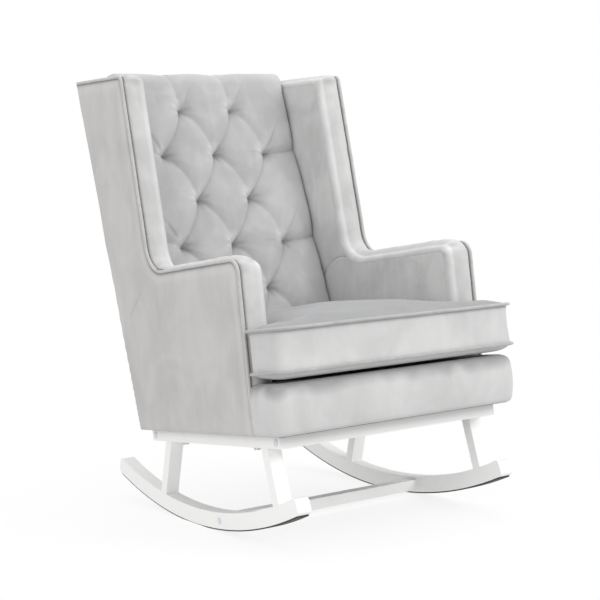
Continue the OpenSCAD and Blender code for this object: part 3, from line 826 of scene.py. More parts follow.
@dataclass(frozen=True)
class Plain:
    """Felt, foam or moulded plastic."""

    name: str
    light: Colour
    dark: Colour
    pile: Pile
    rough: float = 0.9

    def make(self, effects: Effects) -> bpy.types.Material:
        """Builds the material."""
        scale, depth, strength = self.pile.value
        w, shader, place, material = start_material(
            self.name, Roughness=self.rough, Sheen_Weight=0.2 if self.pile is Pile.FELT else 0.0
        )
        fine = w.noise(place, scale, 4.0, 0.7)
        broad = w.noise(place, 18.0)
        tone = w.ramp(
            w.maths("ADD", w.maths("MULTIPLY", fine, 0.6), w.maths("MULTIPLY", broad, 0.4)), 0.32, 0.68
        )
        w.tree.links.new(w.mix(tone, self.dark, self.light), shader.inputs["Base Color"])
        bump(w, shader, fine, depth, strength)
        return material


class Finishes:
    """Every finish of the chair, made once."""

    def __init__(self) -> None:
        """Builds the materials."""
        effects = Effects()
        kinds = (
            # One grey velvet in lit and shaded copies: each copy's tones are set to how light that part looks, so
            # the tone differences between them are painted light and shade.
            Velvet("velvet_side", (0.535, 0.522, 0.505), (0.413, 0.402, 0.387), 6.0),
            Velvet("velvet_front", (0.575, 0.573, 0.569), (0.450, 0.448, 0.444), 10.0),
            Velvet("velvet_inner", (0.610, 0.608, 0.603), (0.450, 0.448, 0.445), 9.0),
            Velvet("velvet_back_pad", (0.465, 0.465, 0.464), (0.362, 0.362, 0.361), 9.0),
            Velvet("velvet_cushion", (0.580, 0.580, 0.576), (0.475, 0.475, 0.471), 8.0),
            Velvet("velvet_welt", (0.42, 0.418, 0.414), (0.32, 0.318, 0.315), 30.0),
            Velvet("velvet_piping", (0.54, 0.53, 0.52), (0.43, 0.42, 0.41), 30.0),
            Paint("white_paint", (0.90, 0.90, 0.892), (0.70, 0.68, 0.65)),
            Plain("felt", (0.045, 0.040, 0.036), (0.018, 0.016, 0.015), Pile.FELT),
            Wood("beech", (0.60, 0.42, 0.25), (0.42, 0.27, 0.14)),
            Wood("plywood", (0.56, 0.42, 0.26), (0.36, 0.25, 0.14), 60.0),
            Wood("pine", (0.66, 0.48, 0.28), (0.48, 0.31, 0.15), 18.0),
            Metal("zinc_steel", (0.62, 0.62, 0.60), (0.40, 0.39, 0.37)),
            Metal("spring_steel", (0.16, 0.16, 0.17), (0.08, 0.08, 0.08), 0.42),
            Metal("zip_metal", (0.55, 0.55, 0.57), (0.30, 0.30, 0.30), 0.28),
            Plain("cap_plastic", (0.74, 0.745, 0.82), (0.66, 0.66, 0.74), Pile.PLASTIC, 0.45),
            Plain("black_plastic", (0.012, 0.012, 0.012), (0.006, 0.006, 0.006), Pile.PLASTIC, 0.5),
            Plain("foam", (0.72, 0.66, 0.42), (0.60, 0.53, 0.30), Pile.FOAM),
            Cloth("webbing", (0.030, 0.030, 0.030), (0.012, 0.012, 0.012), 260.0),
            Cloth("cambric", (0.020, 0.020, 0.021), (0.008, 0.008, 0.008), 620.0),
            Cloth("deck_cloth", (0.40, 0.40, 0.41), (0.28, 0.28, 0.29), 480.0),
            Cloth("zip_tape", (0.32, 0.32, 0.33), (0.20, 0.20, 0.21), 700.0),
        )
        self.by_name = {kind.name: kind.make(effects) for kind in kinds}

    def __getitem__(self, name: str) -> bpy.types.Material:
        """The material of that name."""
        return self.by_name[name]


def hand_over(piece: bpy.types.Object, body: str, slot: str, *nodes: str) -> None:
    """Ties a finished piece to its body and hides the nodes it stands for."""
    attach(piece, body)
    if nodes:
        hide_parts(*nodes)
    log.info("%s: %d vertices, rides on %s", piece.name, len(piece.data.vertices), body)


# ---------- Shared shape of the sides ----------


@dataclass(frozen=True)
class SideShape:
    """The side of the upholstered body, as (y, z) in the chair's frame."""

    half_body: float = 0.304
    inner_face: float = 0.238
    body_z: float = 0.215
    base_top: float = 0.320
    arm_z: float = 0.574
    wing_front_z: float = 1.030
    wing_rear_z: float = 1.059
    base_front_y: float = -0.284
    arm_front_y: float = -0.180
    body_rear_y: float = 0.350
    top_rear_y: float = 0.522
    back_top_z: float = 1.055
    wing_top_y: float = 0.274
    arm_fall: float = 0.003
    wing_arm_r: float = 0.070
    arm_corner_r: float = 0.028
    wing_corner_r: float = 0.011
    wing_low_d: float = 0.200
    pad_low_z: float = 0.324
    pad_low_t: float = 0.100
    pad_top_z: float = 1.065
    pad_top_t: float = 0.080
    piping_r: float = 0.004

    def back_y(self, z: float | Array) -> float | Array:
        """Rear face at height z."""
        return (
            self.body_rear_y
            + (z - self.body_z) * (self.top_rear_y - self.body_rear_y) / (self.back_top_z - self.body_z)
        )

    def pad_y(self, z: float | Array) -> float | Array:
        """Face of the back pad at height z."""
        low = self.back_y(self.pad_low_z) - self.pad_low_t
        top = self.back_y(self.pad_top_z) - self.pad_top_t
        return low + (z - self.pad_low_z) * (top - low) / (self.pad_top_z - self.pad_low_z)

    def front_corners(self) -> list[Corner]:
        """Corners of the line up the arm's front, along the arm, up the wing and over it to the rear."""
        return [
            (self.arm_front_y, self.body_z, 0.0), (self.arm_front_y, self.arm_z, self.arm_corner_r),
            (self.back_y(self.arm_z) - self.wing_low_d, self.arm_z - self.arm_fall, self.wing_arm_r),
            (self.wing_top_y, self.wing_front_z, self.wing_corner_r),
            (self.top_rear_y, self.wing_rear_z, 0.0),
        ]

    def front_line(self, inset: float, step: float = 0.004) -> Array:
        """The same line, moved inward by inset and evenly spaced."""
        line = fillet(inset_corners(self.front_corners(), inset))
        return resample(line, max(8, round(length_of(line) / step)))


# ---------- Covers of arms and wings ----------


@dataclass
class SideCovers:
    """Outer side, band, inner arm, inner wing and piping of one side."""

    shape: SideShape
    level: Level
    finishes: Finishes
    side: Side
    band_crown: float = 0.0085
    band_roll: float = 0.016
    panel_crown: float = 0.006
    piping_r: float = 0.0036
    step: float = 0.005

    def _set(self, points: Array) -> Array:
        """Mirrors for the side and places in the row frame."""
        return self.level.place(points * np.array([self.side.value, 1, 1]))

    def build(self) -> None:
        """Makes the pieces of this side."""
        for piece, slot, nodes in (
            (self._outer_side(), "velvet", (f"{self.side.word}_outer_side",)),
            (self._band(), "velvet", (f"{self.side.word}_band",)),
            (self._inner(True), "velvet", (f"{self.side.word}_inner_arm",)),
            (self._inner(False), "velvet", (f"{self.side.word}_inner_wing",)),
            (self._piping(), "piping_velvet", (f"{self.side.word}_piping",)),
        ):
            hand_over(piece, "chair", slot, *nodes)

    def _outer_side(self) -> bpy.types.Object:
        """Taut, lightly padded panel from the piping to the rear edge."""
        s = self.shape
        front = s.front_line(0.0005, self.step)[:-3]
        low, high = (
            np.array([s.body_rear_y - 0.001, s.body_z]),
            np.array([s.top_rear_y - 0.001, s.wing_rear_z - 0.0015])
        )
        run = np.linspace(0, 1, len(front)) ** 0.92
        rear = low + (high - low) * run[:, None]
        u = np.linspace(0, 1, 96)
        u = (u + 0.5 * (1 - np.cos(math.pi * u)) ) / 2
        flat = front[:, None] * (1 - u[None, :, None]) + rear[:, None] * u[None, :, None]
        seam = distance_to(flat, s.front_line(0.0, 0.003))
        edge = np.minimum(
            distance_to(flat, resample(np.stack([low, high]), 300)), np.abs(flat[..., 1] - s.body_z)
        )
        bulge = self.panel_crown * (1 - np.exp(-seam / 0.03)) * (1 - np.exp(-edge / 0.05))
        round_r = 0.0025
        near = np.clip(round_r - edge, 0, round_r)
        bulge -= round_r - np.sqrt(round_r ** 2 - near ** 2)
        place = np.concatenate([np.full(flat.shape[:-1] + (1,), s.half_body), flat], axis=-1)
        bulge += 0.0012 * cloud(place, 0.11, 3 + self.side.value) * (1 - np.exp(-seam / 0.04))
        bulge += (
            0.0007 * cloud(place * np.array([1, 2.5, 1]), 0.03, 9) * np.exp(-seam / 0.03)
            * (1 - np.exp(-seam / 0.006))
        )
        crease_a, crease_b = np.array([0.243, 0.548]), np.array([0.352, 0.468])
        along = crease_b - crease_a
        t = np.clip(((flat - crease_a) @ along) / (along @ along), 0, 1)
        off = np.linalg.norm(flat - (crease_a + t[..., None] * along), axis=-1)
        bulge -= 0.0012 * np.exp(-(off / 0.004) ** 2) * np.sin(math.pi * t)
        place[..., 0] += bulge - 0.0015
        back = place.copy()
        back[..., 0] = s.half_body - 0.0055
        cover = shell(
            f"{self.side.word}_outer_side_cover", self._set(place), self._set(back),
            self.finishes["velvet_side"]
        )
        # Painted shade along the piping seam, stronger where the seam runs level, a painted highlight on the
        # padding just beside it, and painted shade in the crease.
        seam_shade_by_slope = 0.4 + 0.5 * np.abs(left_normals(front)[:, 1:])
        at_seam = np.exp(-((seam - 0.002) / 0.004) ** 2)
        beside = np.exp(-((seam - 0.016) / 0.009) ** 2)
        in_crease = 0.3 * np.exp(-(off / 0.0025) ** 2) * np.sin(math.pi * t)
        paint_lie(cover, seam_shade_by_slope * at_seam - 0.12 * beside + in_crease)
        return cover

    def _band(self) -> bpy.types.Object:
        """Padded strip over the arm's front, the arm and the wing, rolled over at its inner edge."""
        s = self.shape
        line = s.front_line(0.0, self.step)
        line = np.concatenate([line[:-1], line[-1:] - np.array([[0.003, 0.0]])])
        line[0, 1] += 0.001
        normal = left_normals(line)
        outer, inner, r = s.half_body - 0.0075, s.inner_face, self.band_roll
        top_x = np.linspace(outer, inner + r, 16)
        t = np.linspace(0, 1, 16)
        top_o = -0.0005 + self.band_crown * np.sin(math.pi * t) ** 0.7
        top_o[0] = -0.004
        turn = np.linspace(0, math.pi / 2, 9)[1:]
        roll_x, roll_o = inner + r - r * np.sin(turn), -0.0005 - r + r * np.cos(turn)
        tail_x, tail_o = (
            np.array([inner + 0.0012, inner + 0.005, inner + 0.012]), np.array([-0.020, -0.026, -0.026])
        )
        under_x, under_o = (
            np.array([inner + 0.016, outer - 0.006, outer + 0.001]), np.array([-0.016, -0.014, -0.012])
        )
        x = np.concatenate([top_x, roll_x, tail_x, under_x])
        o = np.concatenate([top_o, roll_o, tail_o, under_o])
        rings = np.zeros((len(line), len(x), 3))
        rings[..., 0] = x[None]
        over_arm = (
            np.clip((s.arm_z + 0.03 - line[:, 1]) / 0.03, 0, 1)
            * np.clip((line[:, 0] - s.arm_front_y - 0.01) / 0.05, 0, 1)
        )
        fuller = (
            (0.6 * self.band_crown * over_arm)[:, None]
            * np.where(
                np.arange(len(x)) < len(t),
                np.sin(math.pi * np.clip(np.arange(len(x)) / (len(t) - 1), 0, 1)) ** 0.7, 0.0
            )[None]
        )
        rings[..., 1:] = line[:, None] + normal[:, None] * (o[None] + fuller)[..., None]
        bend = np.abs(
            np.gradient(
                np.unwrap(np.arctan2(normal[:, 1], normal[:, 0])),
                np.linalg.norm(np.gradient(line, axis=0), axis=1).cumsum()
            )
        )
        bend = np.convolve(bend, np.ones(9) / 9, mode="same")
        gather = np.clip(bend / 30, 0, 1)[:, None]
        upper = np.clip((o + 0.02) / 0.02, 0, 1)[None]
        ripple = (
            0.0011 * cloud(rings * np.array([0.8, 1, 1]), 0.022, 21)
            + 0.0016 * cloud(rings * np.array([0.25, 1, 1]), 0.012, 5) * gather
        )
        rings[..., 1:] += normal[:, None] * (ripple * upper)[..., None]
        band = tube(f"{self.side.word}_band_cover", self._set(rings), self.finishes["velvet_front"])
        # Painted shade in the seam by the piping, a painted highlight on the inner roll, and light and dark
        # patches where the band bends tight.
        seam = (
            0.45 * np.exp(-((outer - x) / 0.0038) ** 2) - 0.25 * np.exp(-((x - inner - 0.012) / 0.008) ** 2)
        )
        paint_lie(
            band,
            np.repeat(seam[None], len(line), axis=0) + 0.45 * np.clip(gather - 0.2, 0, 1) * cloud(
                rings * np.array([0.3, 1, 1]), 0.011, 6
            )
        )
        return band

    def _inner(self, arm: bool) -> bpy.types.Object:
        """Inner panel of the arm, or of the wing above it, which meet in a seam from the hollow."""
        s = self.shape
        front = s.front_line(0.0165, self.step)
        front = front[front[:, 1] > s.base_top - 0.004]
        hollow = int(
            np.argmin(
                np.abs(front[:, 0] - (s.back_y(s.arm_z) - s.wing_low_d - 0.005))
                + np.abs(front[:, 1] - s.arm_z)
            )
        )
        share = np.linspace(0, 1, len(front))
        split_z, low_z, high_z = 0.505, s.base_top - 0.004, s.wing_rear_z - 0.03
        rear_z = np.where(
            share < share[hollow], low_z + (split_z - low_z) * share / share[hollow],
            split_z + (high_z - split_z) * (share - share[hollow]) / (1 - share[hollow])
        )
        rear = np.stack([s.pad_y(rear_z) + 0.045, rear_z], axis=1)
        rows = slice(0, hollow + 1) if arm else slice(hollow, len(front) - 2)
        u = np.linspace(0, 1, 60)
        sag = 0.028 * np.sin(math.pi * u)[None] * np.exp(-np.abs(share[:, None] - share[hollow]) / 0.08)
        flat = front[:, None] * (1 - u[None, :, None]) + rear[:, None] * u[None, :, None]
        flat[..., 1] += sag
        seam_line, border = flat[hollow], front
        flat = flat[rows]
        seam, edge = distance_to(flat, resample(seam_line, 300)), distance_to(flat, border)
        place = np.concatenate([np.full(flat.shape[:-1] + (1,), s.inner_face), flat], axis=-1)
        crown = 0.0045 * (1 - np.exp(-seam / 0.022)) * (1 - np.exp(-edge / 0.05))
        crown += 0.0014 * cloud(place, 0.08, 31 if arm else 37) * (1 - np.exp(-edge / 0.03))
        crown += (
            0.0012 * cloud(place * np.array([1, 0.6, 2.2]), 0.03, 41) * np.exp(-seam / 0.03)
            * (1 - np.exp(-edge / 0.03))
        )
        crown -= 0.0009 * np.exp(-seam / 0.004)
        place[..., 0] = s.inner_face + 0.0002 - crown
        back = place.copy()
        back[..., 0] = s.inner_face + 0.0055
        name = "inner_arm" if arm else "inner_wing"
        return shell(
            f"{self.side.word}_{name}_cover", self._set(place), self._set(back),
            self.finishes["velvet_inner"]
        )

    def _piping(self) -> bpy.types.Object:
        """Covered cord in the seam between the outer side and the band."""
        s = self.shape
        line = fillet(inset_corners(s.front_corners(), -0.0022))
        line = resample(line, 420)[:-2]
        line[0, 1] += 0.001
        path = np.concatenate([np.full((len(line), 1), s.half_body - self.piping_r + 0.0012), line], axis=1)
        path[:, 1:] += 0.0006 * cloud(path, 0.04, 8)[:, None]
        return tube(
            f"{self.side.word}_side_piping",
            self._set(cord_rings(path, self.piping_r, np.array([1.0, 0, 0]), seed=7)),
            self.finishes["velvet_piping"]
        )


# ---------- Tufted back ----------


@dataclass
class TuftedBack:
    """Back pad drawn in at rows of blind tufts, with pleats between them, and the outer back behind it."""

    shape: SideShape
    level: Level
    finishes: Finishes
    tuft_x: float = 0.144
    tuft_z: float = 0.114
    tuft_low_z: float = 0.525
    rows: int = 5
    step: float = 0.0027
    loft: float = 0.016
    pit: float = 0.017
    side_r: float = 0.020
    top_r: float = 0.030

    def build(self) -> None:
        """Makes the pad and the outer back."""
        pad = self._pad()
        hand_over(pad, "chair", "velvet", "tufted_back_pad")
        outer = self._outer_back()
        hand_over(outer, "chair", "velvet", "outer_back")

    def _profile(self) -> Array:
        """The pad's section, up its face and over its top to the rear."""
        s = self.shape
        top, drop = s.pad_top_z, 0.06
        corners = [
            (s.pad_y(s.pad_low_z), s.pad_low_z, 0.0), (s.pad_y(top), top, self.top_r),
            (s.back_y(top) - 0.006, top, 0.024), (s.back_y(top - drop) - 0.007, top - drop, 0.0),
        ]
        line = fillet(corners, 14)
        return resample(line, round(length_of(line) / self.step))

    def _tufts(self) -> list[tuple[float, float, int]]:
        """Each tuft as x, distance up the pad's face, and row."""
        slope = math.hypot(1.0, (self.shape.pad_y(1.0) - self.shape.pad_y(0.0)))
        found = []
        for row in range(self.rows):
            count = 2 if row % 2 == 0 else 3
            up = (self.tuft_low_z + row * self.tuft_z - self.shape.pad_low_z) * slope
            found += [((i - (count - 1) / 2) * self.tuft_x, up, row) for i in range(count)]
        return found

    def _pleats(self, top: float) -> list[tuple[Array, Array, float]]:
        """Each pleat as its two ends, across and up the pad, and its depth between tufts."""
        tufts, half, width = self._tufts(), self.tuft_x / 2, self.shape.inner_face
        rise = tufts[2][1] - tufts[0][1]
        pleats = []
        for x, up, row in tufts:
            for dx in (-half, half):
                if row + 1 < self.rows and abs(x + dx) < self.tuft_x + 0.01:
                    pleats.append(
                        (np.array([x, up]), np.array([x + dx, up + rise]), 1.0 if dx > 0 else 0.4)
                    )
                if row == 0:
                    pleats.append(
                        (np.array([x + dx, up - rise]), np.array([x, up]), 0.4 if dx > 0 else 0.9)
                    )
            if row == self.rows - 1:
                pleats.append((np.array([x, up]), np.array([x - 0.012, top - 0.012]), 0.55))
            if abs(x) > self.tuft_x - 0.01:
                pleats.append((np.array([x, up]), np.array([math.copysign(width, x), up + 0.006]), 0.8))
        return pleats

    def _pad(self) -> bpy.types.Object:
        """The pad as a fine surface, raised between the pleats, with painted shade and highlight round its tufts
        and pleats.
        """
        s = self.shape
        line = self._profile()
        normal = left_normals(line)
        up = np.concatenate([[0], np.cumsum(np.linalg.norm(np.diff(line, axis=0), axis=1))])
        width = s.inner_face - 0.001
        x = np.linspace(-width, width, round(2 * width / self.step))
        grid = np.stack(np.meshgrid(x, up), axis=-1)
        tufts = self._tufts()
        face_end = (s.pad_top_z - s.pad_low_z)
        fold, cut, lie = np.full(grid.shape[:2], 1e3), np.zeros(grid.shape[:2]), np.zeros(grid.shape[:2])
        for a, b, depth in self._pleats(face_end + 0.02):
            way = b - a
            size = float(np.linalg.norm(way))
            t = np.clip(((grid - a) @ way) / size ** 2, 0, 1)
            side = np.array([-way[1], way[0]]) / size
            side = side if side[1] > 0 else -side
            bow = 0.008 * np.sin(math.pi * t) * (-1 if way[0] > 0.02 else 1 if way[0] < -0.02 else 0)
            near = a + t[..., None] * way + side * bow[..., None]
            offset = grid - near
            d = np.hypot(offset[..., 0], offset[..., 1])
            above = offset @ side > 0
            middle = 1 - np.abs(2 * t - 1)
            reach = d * np.where(above, 1.5, 0.8) + (0.004 + 0.022 * (1 - depth)) * middle ** 0.8
            fold = np.minimum(fold, reach)
            sharp = depth * (0.45 + 0.55 * (1 - middle) ** 2) if depth > 0.5 else depth * (1 - middle) ** 3
            cut = np.maximum(cut, sharp * np.exp(-(d / 0.0028) ** 1.3))
            # Painted highlight above each pleat and painted shade below it.
            lie = (
                lie
                + sharp * np.where(
                    above, -0.30 * np.exp(-d / 0.012), 0.24 * np.exp(-d / 0.016)
                ) * (0.5 + 0.5 * (1 - middle))
            )
        height = self.loft * (1 - np.exp(-(fold / 0.032) ** 1.2))
        height -= 0.0030 * cut
        # Painted shade in the pleats' creases.
        lie += 0.5 * cut
        place = np.zeros(grid.shape[:2] + (3,))
        place[..., 0] = grid[..., 0]
        place[..., 1:] = line[:, None]
        height += 0.0014 * cloud(place, 0.07, 11) + 0.0006 * cloud(place, 0.025, 12)
        for number, (tx, tz, _) in enumerate(tufts):
            across, up_off = grid[..., 0] - tx, grid[..., 1] - tz
            angle, far = np.arctan2(up_off, across), np.hypot(across, up_off)
            toward = np.cos(angle - math.radians(135))
            height -= self.pit * np.exp(-(far * (1 + 0.38 * toward) / 0.0135) ** 1.25)
            height += 0.0012 * np.cos(7 * angle + 1.7 * number) * np.exp(-((far - 0.017) / 0.011) ** 2)
            # Painted shade below and to the right of each tuft, painted highlight on its upper left lip.
            lie += (
                0.75 * np.exp(-(far / 0.020) ** 1.5) * np.clip(-toward + 0.1, 0, 1) ** 1.3
                - 0.45 * np.exp(-((far - 0.014) / 0.014) ** 2) * np.clip(toward - 0.3, 0, 1)
            )
        over = np.clip((grid[..., 1] - face_end + 0.03) / 0.05, 0, 1)
        edge_r = self.side_r * (1 - 0.45 * over)
        past = np.clip(np.abs(grid[..., 0]) - (width - edge_r), 0, edge_r * 0.999)
        height = height * (1 - (past / edge_r) ** 2 * 0.7) - (edge_r - np.sqrt(edge_r ** 2 - past ** 2))
        height = height * (1 - over * 0.45) + 0.002 * over - 0.004 * (1 - over)
        place[..., 1:] += normal[:, None] * height[..., None]
        rows, cols = grid.shape[:2]
        rim = rim_of(rows, cols)
        deep = np.repeat((line - normal * 0.045)[:, None], cols, axis=1)
        inner = np.concatenate([grid[..., :1], deep], axis=-1).reshape(-1, 3)[rim]
        inner[:, 2] = np.minimum(inner[:, 2], s.pad_top_z - 0.03)
        points = np.concatenate([place.reshape(-1, 3), inner, inner.mean(axis=0, keepdims=True)])
        start = rows * cols
        faces = grid_faces(rows, cols)
        faces += [
            (rim[i], start + i, start + (i + 1) % len(rim), rim[(i + 1) % len(rim)])
            for i in range(len(rim))
        ]
        faces += [(start + i, len(points) - 1, start + (i + 1) % len(rim)) for i in range(len(rim))]
        pad = make_piece(
            "tufted_back_cover", self.level.place(points), faces, self.finishes["velvet_back_pad"]
        )
        paint_lie(pad, np.clip(lie * (1 - over), -1, 1))
        return pad

    def _outer_back(self) -> bpy.types.Object:
        """Plain panel behind the back, padded a little and turned in at its edges."""
        s = self.shape
        half = s.half_body - 0.0032
        z = np.linspace(s.body_z + 0.0005, s.wing_rear_z - 0.014, 150)
        x = np.linspace(-half, half, 110)
        grid = np.stack(np.meshgrid(x, z), axis=-1)
        edge = np.minimum(
            half - np.abs(grid[..., 0]), np.minimum(grid[..., 1] - z[0], z[-1] - grid[..., 1])
        )
        place = np.stack([grid[..., 0], s.back_y(grid[..., 1]), grid[..., 1]], axis=-1)
        bulge = 0.006 * (1 - np.exp(-edge / 0.05)) - 0.0020 * np.exp(-edge / 0.004)
        bulge += (
            0.0012 * cloud(place, 0.13, 51)
            + 0.0009 * cloud(place * np.array([2.4, 1, 0.7]), 0.05, 52) * np.exp(-edge / 0.05)
        )
        place[..., 1] += bulge
        back = place.copy()
        back[..., 1] = s.back_y(grid[..., 1]) - 0.0055
        return shell(
            "outer_back_cover", self.level.place(place), self.level.place(back),
            self.finishes["velvet_side"]
        )


# ---------- Base ----------


@dataclass
class Base:
    """Border round the front of the base, the deck under the cushion and the dust cover below."""

    shape: SideShape
    level: Level
    finishes: Finishes
    corner_r: float = 0.022
    top_r: float = 0.018
    crown: float = 0.009
    deck_cut: tuple[float, float] = (0.568, 0.530)
    deck_area: float = 0.262
    dust_cut: tuple[float, float] = (0.580, 0.606)

    def build(self) -> None:
        """Makes the three covers."""
        border = self._border()
        hand_over(border, "chair", "velvet", "base_border")
        deck = self._deck()
        hand_over(deck, "chair", "deck_cloth", "seat_deck")
        dust_cover = self._dust_cover()
        hand_over(dust_cover, "chair", "cambric", "dust_cover")

    def _border(self) -> bpy.types.Object:
        """Front and short sides of the base in one padded strip."""
        s = self.shape
        side = s.half_body - 0.0008
        corners = [
            (-side, s.arm_front_y - 0.001, 0.0), (-side, s.base_front_y, self.corner_r),
            (side, s.base_front_y, self.corner_r), (side, s.arm_front_y - 0.001, 0.0)
        ]
        line = resample(fillet(corners, 14), 330)
        out = -left_normals(line)
        low, top, r = s.body_z, s.base_top, self.top_r
        turn = np.linspace(0, math.pi / 2, 9)
        wall = np.linspace(0, 1, 22)
        o = np.concatenate([[-0.016, -0.005], np.zeros(len(wall)), -r + r * np.cos(turn[1:]), [-r - 0.004]])
        z = np.concatenate(
            [
                [low + 0.0015, low + 0.0005], low + 0.003 + (top - r - low - 0.003) * wall,
                top - r + r * np.sin(turn[1:]), [top - 0.0005]
            ]
        )
        rings = np.zeros((len(line), len(o), 3))
        run = np.minimum(np.arange(len(line)), np.arange(len(line))[::-1]) / len(line)
        full = np.zeros(len(o))
        full[2:2 + len(wall) + 6] = self.crown * np.sin(math.pi * np.linspace(0, 1, len(wall) + 6)) ** 0.6
        rings[..., :2] = (
            line[:, None]
            + out[:, None] * (o[None] - 0.0008 + full[None] * (1 - np.exp(-run / 0.03))[:, None])[..., None]
        )
        rings[..., 2] = z[None]
        swell = 0.0014 * cloud(rings, 0.09, 61) + 0.0007 * cloud(rings * np.array([1, 1, 0.4]), 0.025, 62)
        rings[..., :2] += out[:, None] * (swell * np.clip(o + 0.012, 0, 0.01)[None] * 100)[..., None]
        back = rings.copy()
        back[..., :2] = line[:, None] + out[:, None] * np.minimum(o - 0.006, -0.006)[None, :, None]
        back[..., 2] = np.clip(rings[..., 2], low + 0.004, top - 0.008)
        border = shell(
            "base_border_cover", self.level.place(rings), self.level.place(back),
            self.finishes["velvet_cushion"]
        )
        # Painted shade along the top of the border, under the cushion's edge.
        nap_streaks_and_shade = np.clip(
            (
                rings[..., 2] - (top - 0.030) + 0.010 * cloud(rings * np.array([1, 1, 0.3]), 0.03, 63)
            ) / 0.022,
            0, 1
        )
        paint_lie(border, 0.62 * nap_streaks_and_shade)
        return border

    def _deck(self) -> bpy.types.Object:
        """Cloth deck, T-shaped, that sinks a little between the arms."""
        s = self.shape
        cell = 0.008
        x0, y0, y1 = s.half_body - 0.020, s.base_front_y + 0.020, float(s.pad_y(s.base_top)) + 0.01
        xs, ys = (
            np.arange(-x0, x0 + 1e-6, 2 * x0 / round(2 * x0 / cell)),
            np.linspace(y0, y1, round((y1 - y0) / cell))
        )
        split, inner = (
            int(np.argmin(np.abs(ys - s.arm_front_y))), int(np.argmin(np.abs(xs + s.inner_face - 0.0005)))
        )
        grid = np.stack(np.meshgrid(xs, ys), axis=-1)
        sink = 0.005 * np.exp(-(np.linalg.norm((grid - [0, 0.03]) / [0.16, 0.2], axis=-1)) ** 2)
        top = np.concatenate([grid, (s.base_top - sink - 0.0015)[..., None]], axis=-1)
        top[..., 2] += 0.0007 * cloud(top, 0.05, 71)
        low = top.copy()
        low[..., 2] -= 0.003
        rows, cols = grid.shape[:2]
        used = [
            (i, j) for i in range(rows - 1) for j in range(cols - 1)
            if i < split or inner <= j < cols - 1 - inner
        ]
        quads = [
            (i * cols + j, i * cols + j + 1, (i + 1) * cols + j + 1, (i + 1) * cols + j) for i, j in used
        ]
        count = rows * cols
        edges: dict[tuple[int, int], int] = {}
        for quad in quads:
            for a, b in zip(quad, quad[1:] + quad[:1]):
                edges[(a, b)] = edges.get((a, b), 0) + 1
        faces = quads + [tuple(count + k for k in quad[::-1]) for quad in quads]
        faces += [(a, a + count, b + count, b) for a, b in edges if (b, a) not in edges]
        points = np.concatenate([top.reshape(-1, 3), low.reshape(-1, 3)])
        keep = sorted({k for face in faces for k in face})
        index = {k: i for i, k in enumerate(keep)}
        return make_piece(
            "seat_deck_cloth", self.level.place(points[keep]),
            [tuple(index[k] for k in face) for face in faces], self.finishes["deck_cloth"]
        )

    def _dust_cover(self) -> bpy.types.Object:
        """Thin black cloth under the seat, hanging a little between its staples."""
        s = self.shape
        half, y0, y1 = s.half_body - 0.014, s.base_front_y + 0.014, s.body_rear_y - 0.014
        grid = np.stack(np.meshgrid(np.linspace(-half, half, 90), np.linspace(y0, y1, 90)), axis=-1)
        edge = np.minimum(half - np.abs(grid[..., 0]), np.minimum(grid[..., 1] - y0, y1 - grid[..., 1]))
        place = np.concatenate([grid, np.full(grid.shape[:2] + (1,), s.body_z - 0.0011)], axis=-1)
        middle = np.clip((s.half_body - 0.06 - np.abs(grid[..., 0])) / 0.12, 0, 1)
        place[..., 2] -= (
            0.005 * middle * (1 - np.exp(-np.clip(edge - 0.02, 0, 1) / 0.08))
            + 0.0004 * (cloud(place, 0.03, 81) + 1) * np.clip(edge / 0.03, 0, 1)
        )
        top = place.copy()
        top[..., 2] = np.maximum(place[..., 2] + 0.0006, s.body_z - 0.0006)
        return shell(
            "dust_cover_cloth", self.level.place(place), self.level.place(top), self.finishes["cambric"]
        )


# ---------- Loose seat cushion ----------


